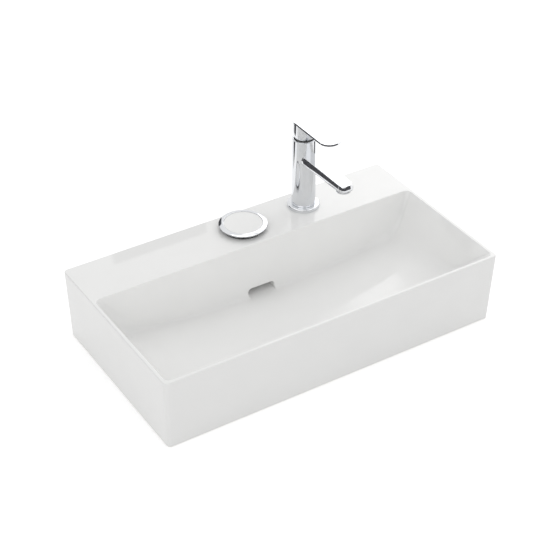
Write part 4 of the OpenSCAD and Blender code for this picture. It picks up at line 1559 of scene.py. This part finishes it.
@dataclass
class Lever:
    """Handle: a flat plate with thin edges on a round foot, with its screw and index plug."""

    centre: Flat = TAP_AXIS
    half: float = 19.5
    reach: float = 91.5
    tip_r: float = 17.5
    low: float = 284.2
    top: float = 287.5
    top_r: float = 0.3
    under_r: float = 0.4
    # The plate's edge draws in by this much from below to above.
    lean: float = 0.36
    foot_r: float = 19.2
    foot_low: float = 255.0
    foot_edge: float = 0.35
    foot_bite: float = 1.2
    belly: float = 270.0
    belly_r: float = 34.79
    cave_r: float = 14.5
    cave_top: float = 268.0
    cave_edge: float = 0.3
    plug_r: float = 2.95
    plug_y: float = 17.2
    screw_z: float = 273.0
    facets: int = 128
    hole_facets: int = 40
    back_steps: int = 48
    side_steps: int = 8
    tip_steps: int = 16
    edge_steps: int = 6
    belly_steps: int = 12

    def plan(self, inset: float) -> list[Flat]:
        """Plate seen from above, drawn in by an inset.

        Args:
            inset: How far it lies inside the full outline.

        Returns:
            The outline's points.
        """
        back, tip = self.half - inset, self.tip_r - inset
        tip_x, tip_y = self.half - self.tip_r, self.tip_r - self.reach
        points = arc((0, 0), (back, back), 0, 180, self.back_steps)
        points += along((-back, 0), (-back, tip_y), self.side_steps)
        for x, first in ((-tip_x, 180), (tip_x, 270)):
            points += arc((x, tip_y), (tip, tip), first, first + 90, self.tip_steps)
        points += along((back, tip_y), (back, 0), self.side_steps)
        return shifted(points, self.centre)

    def plate(self) -> Shell:
        """Flat plate with rolled edges.

        Returns:
            The plate.
        """
        shell, under, fine = Shell(), self.under_r, self.top_r
        levels = arc((under, self.low + under), (under, under), 270, 180, self.edge_steps)
        levels += arc((self.lean + fine, self.top - fine), (fine, fine), 180, 90, self.edge_steps)
        return shell.stack([shell.level(self.plan(inset), z) for inset, z in levels], caps=True)

    def foot(self) -> Shell:
        """Round foot, drawn in to the body in a long curve and hollow inside.

        Returns:
            The foot.
        """
        middle = self.foot_r - self.belly_r
        rise, count = self.belly - self.foot_low, self.belly_steps
        heights = [self.foot_low + rise * i / count for i in range(count + 1)]
        curve = [(middle + math.sqrt(self.belly_r ** 2 - (self.belly - z) ** 2), z) for z in heights]
        edge, cave = self.foot_edge, self.cave_edge
        profile = [(0.0, self.cave_top), (self.cave_r, self.cave_top), (self.cave_r, self.foot_low + cave),
                   (self.cave_r + cave, self.foot_low), (curve[0][0] - edge, self.foot_low),
                   (curve[0][0] + 0.02, self.foot_low + edge)]
        profile += curve[1:] + [(self.foot_r, self.low + self.foot_bite), (0.0, self.low + self.foot_bite)]
        return Shell().turn(profile, self.centre, self.facets)

    def build(self) -> None:
        """Makes the handle and dresses what it carries."""
        lever = self.plate().piece("lever")
        carve(lever, self.foot().piece("foot"), Cut.ADD)
        hole = Shell().rod_y(self.plug_r, self.centre[1] + self.plug_y, self.centre[1] + self.half + 2,
                             self.centre[0], self.screw_z, self.hole_facets)
        carve(lever, hole.piece("hole"), Cut.TAKE)
        settle(lever, Body.HANDLE, "chrome", ["handle"])
        dress("lever_stem", "handle_screw", "index_plug")


@dataclass
class Studio:
    """White light tent: soft lamps round it, a white sweep, and dark screens for chrome to mirror."""

    azimuth: float = -32.22
    elevation: float = 35.83
    distance: float = 2.340
    target: Point = (-0.0129, -0.015, 0.1058)
    lens: float = 95.914
    sensor: float = 36.0
    sky: float = 0.72
    floor_albedo: float = 0.80
    floor_glow: float = 0.45
    floor_half: float = 9000.0
    # Colour of the screens, a painted dark reflection that only glossy rays see.
    painted_dark_reflection: str = "#5E5E61"
    # Name, place, aim, size in metres and radiance of each lamp.
    lamps: tuple[tuple[str, Point, Point, Flat, float], ...] = (
        ("key", (1.73, 1.235, 1.60), (0.0, 0.0, 0.1), (1.7, 1.7), 1.25),
        ("top", (0.37, 0.70, 1.95), (0.0, 0.12, 0.13), (1.5, 0.32), 1.35),
        ("left", (-2.20, -1.35, 0.90), (0.0, 0.0, 0.1), (2.2, 2.2), 0.50),
        ("front", (0.60, -2.40, 1.10), (0.0, 0.0, 0.1), (1.8, 1.8), 0.32))
    # Name, corners seen from above, and heights of the lower and the upper edge of each screen, in metres.
    # Each screen is a painted dark reflection.
    screens: tuple[tuple[str, tuple[Flat, ...], float, float], ...] = (
        ("rear_screen", ((-0.17, 0.26), (0.01, 0.26)), 0.10, 0.22),
        ("right_screen", ((0.36, 0.12), (0.36, 0.04)), 0.02, 0.12),
        ("front_screen", ((-0.45, 0.40), (-0.62, 0.10), (-0.62, -0.30), (-0.40, -0.66), (0.0, -0.75),
                          (0.40, -0.72), (0.62, -0.55)), 0.0, 0.34))

    def camera(self) -> None:
        """Places the camera at the photograph's angle."""
        turn, rise = math.radians(self.azimuth), math.radians(self.elevation)
        back = Vector((math.sin(turn) * math.cos(rise), -math.cos(turn) * math.cos(rise), math.sin(rise)))
        data = bpy.data.cameras.new("camera")
        data.lens = self.lens
        data.sensor_width = self.sensor
        camera = blank("camera", data)
        camera.location = Vector(self.target) + back * self.distance
        camera.rotation_euler = back.to_track_quat("Z", "Y").to_euler()
        bpy.context.scene.camera = camera

    def seen(self, tree: bpy.types.NodeTree) -> bpy.types.Node:
        """Adds a mask that is 1 for rays that look at the studio rather than light the object.

        Args:
            tree: Tree that gets the nodes.

        Returns:
            Node whose first output is the mask.
        """
        path = add_node(tree, "ShaderNodeLightPath")
        direct = add_node(tree, "ShaderNodeMath", {"operation": "MAXIMUM"},
                          {0: (path, "Is Camera Ray"), 1: (path, "Is Glossy Ray")})
        return add_node(tree, "ShaderNodeMath", {"operation": "MAXIMUM"},
                        {0: (direct, 0), 1: (path, "Is Transmission Ray")})

    def world(self) -> None:
        """White to the eye and in reflections, and softer as light."""
        world = bpy.data.worlds.new("studio")
        tree = bare_tree(world)
        white = srgb("#FFFFFF")
        light, shown = (add_node(tree, "ShaderNodeBackground", {"Color": white, "Strength": strength})
                        for strength in (self.sky, 1.0))
        both = add_node(tree, "ShaderNodeMixShader",
                        links={0: (self.seen(tree), 0), 1: (light, 0), 2: (shown, 0)})
        add_node(tree, "ShaderNodeOutputWorld", links={"Surface": (both, 0)})
        bpy.context.scene.world = world

    def lamp(self, name: str, place: Point, aim: Point, size: Flat, radiance: float) -> None:
        """Adds a soft lamp.

        Args:
            name: Its name.
            place: Where it hangs, in metres.
            aim: Where it points.
            size: Its width and depth in metres.
            radiance: Brightness of its face, 1 for white.
        """
        data = bpy.data.lights.new(name, "AREA")
        data.shape = "RECTANGLE"
        data.size, data.size_y = size
        data.energy = radiance * math.pi * size[0] * size[1]
        lamp = blank(name, data)
        lamp.location = place
        lamp.rotation_euler = (Vector(place) - Vector(aim)).to_track_quat("Z", "Y").to_euler()

    def floor(self) -> None:
        """Adds the pale floor, which stays white around the object's shadow."""
        shell, far = Shell(), self.floor_half
        shell.cap(shell.level([(-far, -far), (far, -far), (far, far), (-far, far)], 0))
        floor = shell.piece("floor")
        material = bpy.data.materials.new("paper_sweep")
        tree = bare_tree(material)
        pale = self.floor_albedo
        paper = add_node(tree, "ShaderNodeBsdfDiffuse", {"Color": (pale, pale, pale, 1.0)})
        glow = add_node(tree, "ShaderNodeMath", {"operation": "MULTIPLY", 1: self.floor_glow},
                        {0: (self.seen(tree), 0)})
        light = add_node(tree, "ShaderNodeEmission", links={"Strength": (glow, 0)})
        both = add_node(tree, "ShaderNodeAddShader", links={0: (paper, 0), 1: (light, 0)})
        add_node(tree, "ShaderNodeOutputMaterial", links={"Surface": (both, 0)})
        floor.data.materials.append(material)

    def screen(self, name: str, plan: Sequence[Flat], low: float, high: float) -> None:
        """Hangs a dark grey screen that only mirrors show, as outside a real photograph's frame.

        Args:
            name: Its name.
            plan: Its corners seen from above, in metres.
            low: Height of its lower edge.
            high: Height of its upper edge.
        """
        shell = Shell()
        edges = [shell.level([(x / MM, y / MM) for x, y in plan], z / MM) for z in (low, high)]
        reflection_card = shell.stack(edges, closed=False).piece(name)
        for ray in ("camera", "diffuse", "shadow", "transmission"):
            setattr(reflection_card, f"visible_{ray}", False)
        material = bpy.data.materials.new(f"{name}_velvet")
        tree = bare_tree(material)
        dull = add_node(tree, "ShaderNodeBsdfDiffuse", {"Color": srgb(self.painted_dark_reflection)})
        add_node(tree, "ShaderNodeOutputMaterial", links={"Surface": (dull, 0)})
        reflection_card.data.materials.append(material)

    def build(self) -> None:
        """Sets up the view, camera, lamps, world, floor and screens."""
        bpy.context.scene.view_settings.view_transform = "Standard"
        self.camera()
        self.world()
        for row in self.lamps:
            self.lamp(*row)
        self.floor()
        for row in self.screens:
            self.screen(*row)


def main() -> None:
    """Builds every sub-assembly, lights it and writes the two boxes."""
    logging.basicConfig(level=logging.INFO, format="%(message)s")
    Studio().build()
    for part in (Basin(), Waste(), Cap(), Mixer(), Lever()):
        LOG.info("%s", type(part).__doc__.splitlines()[0])
        part.build()


if __name__ == "__main__":
    main()
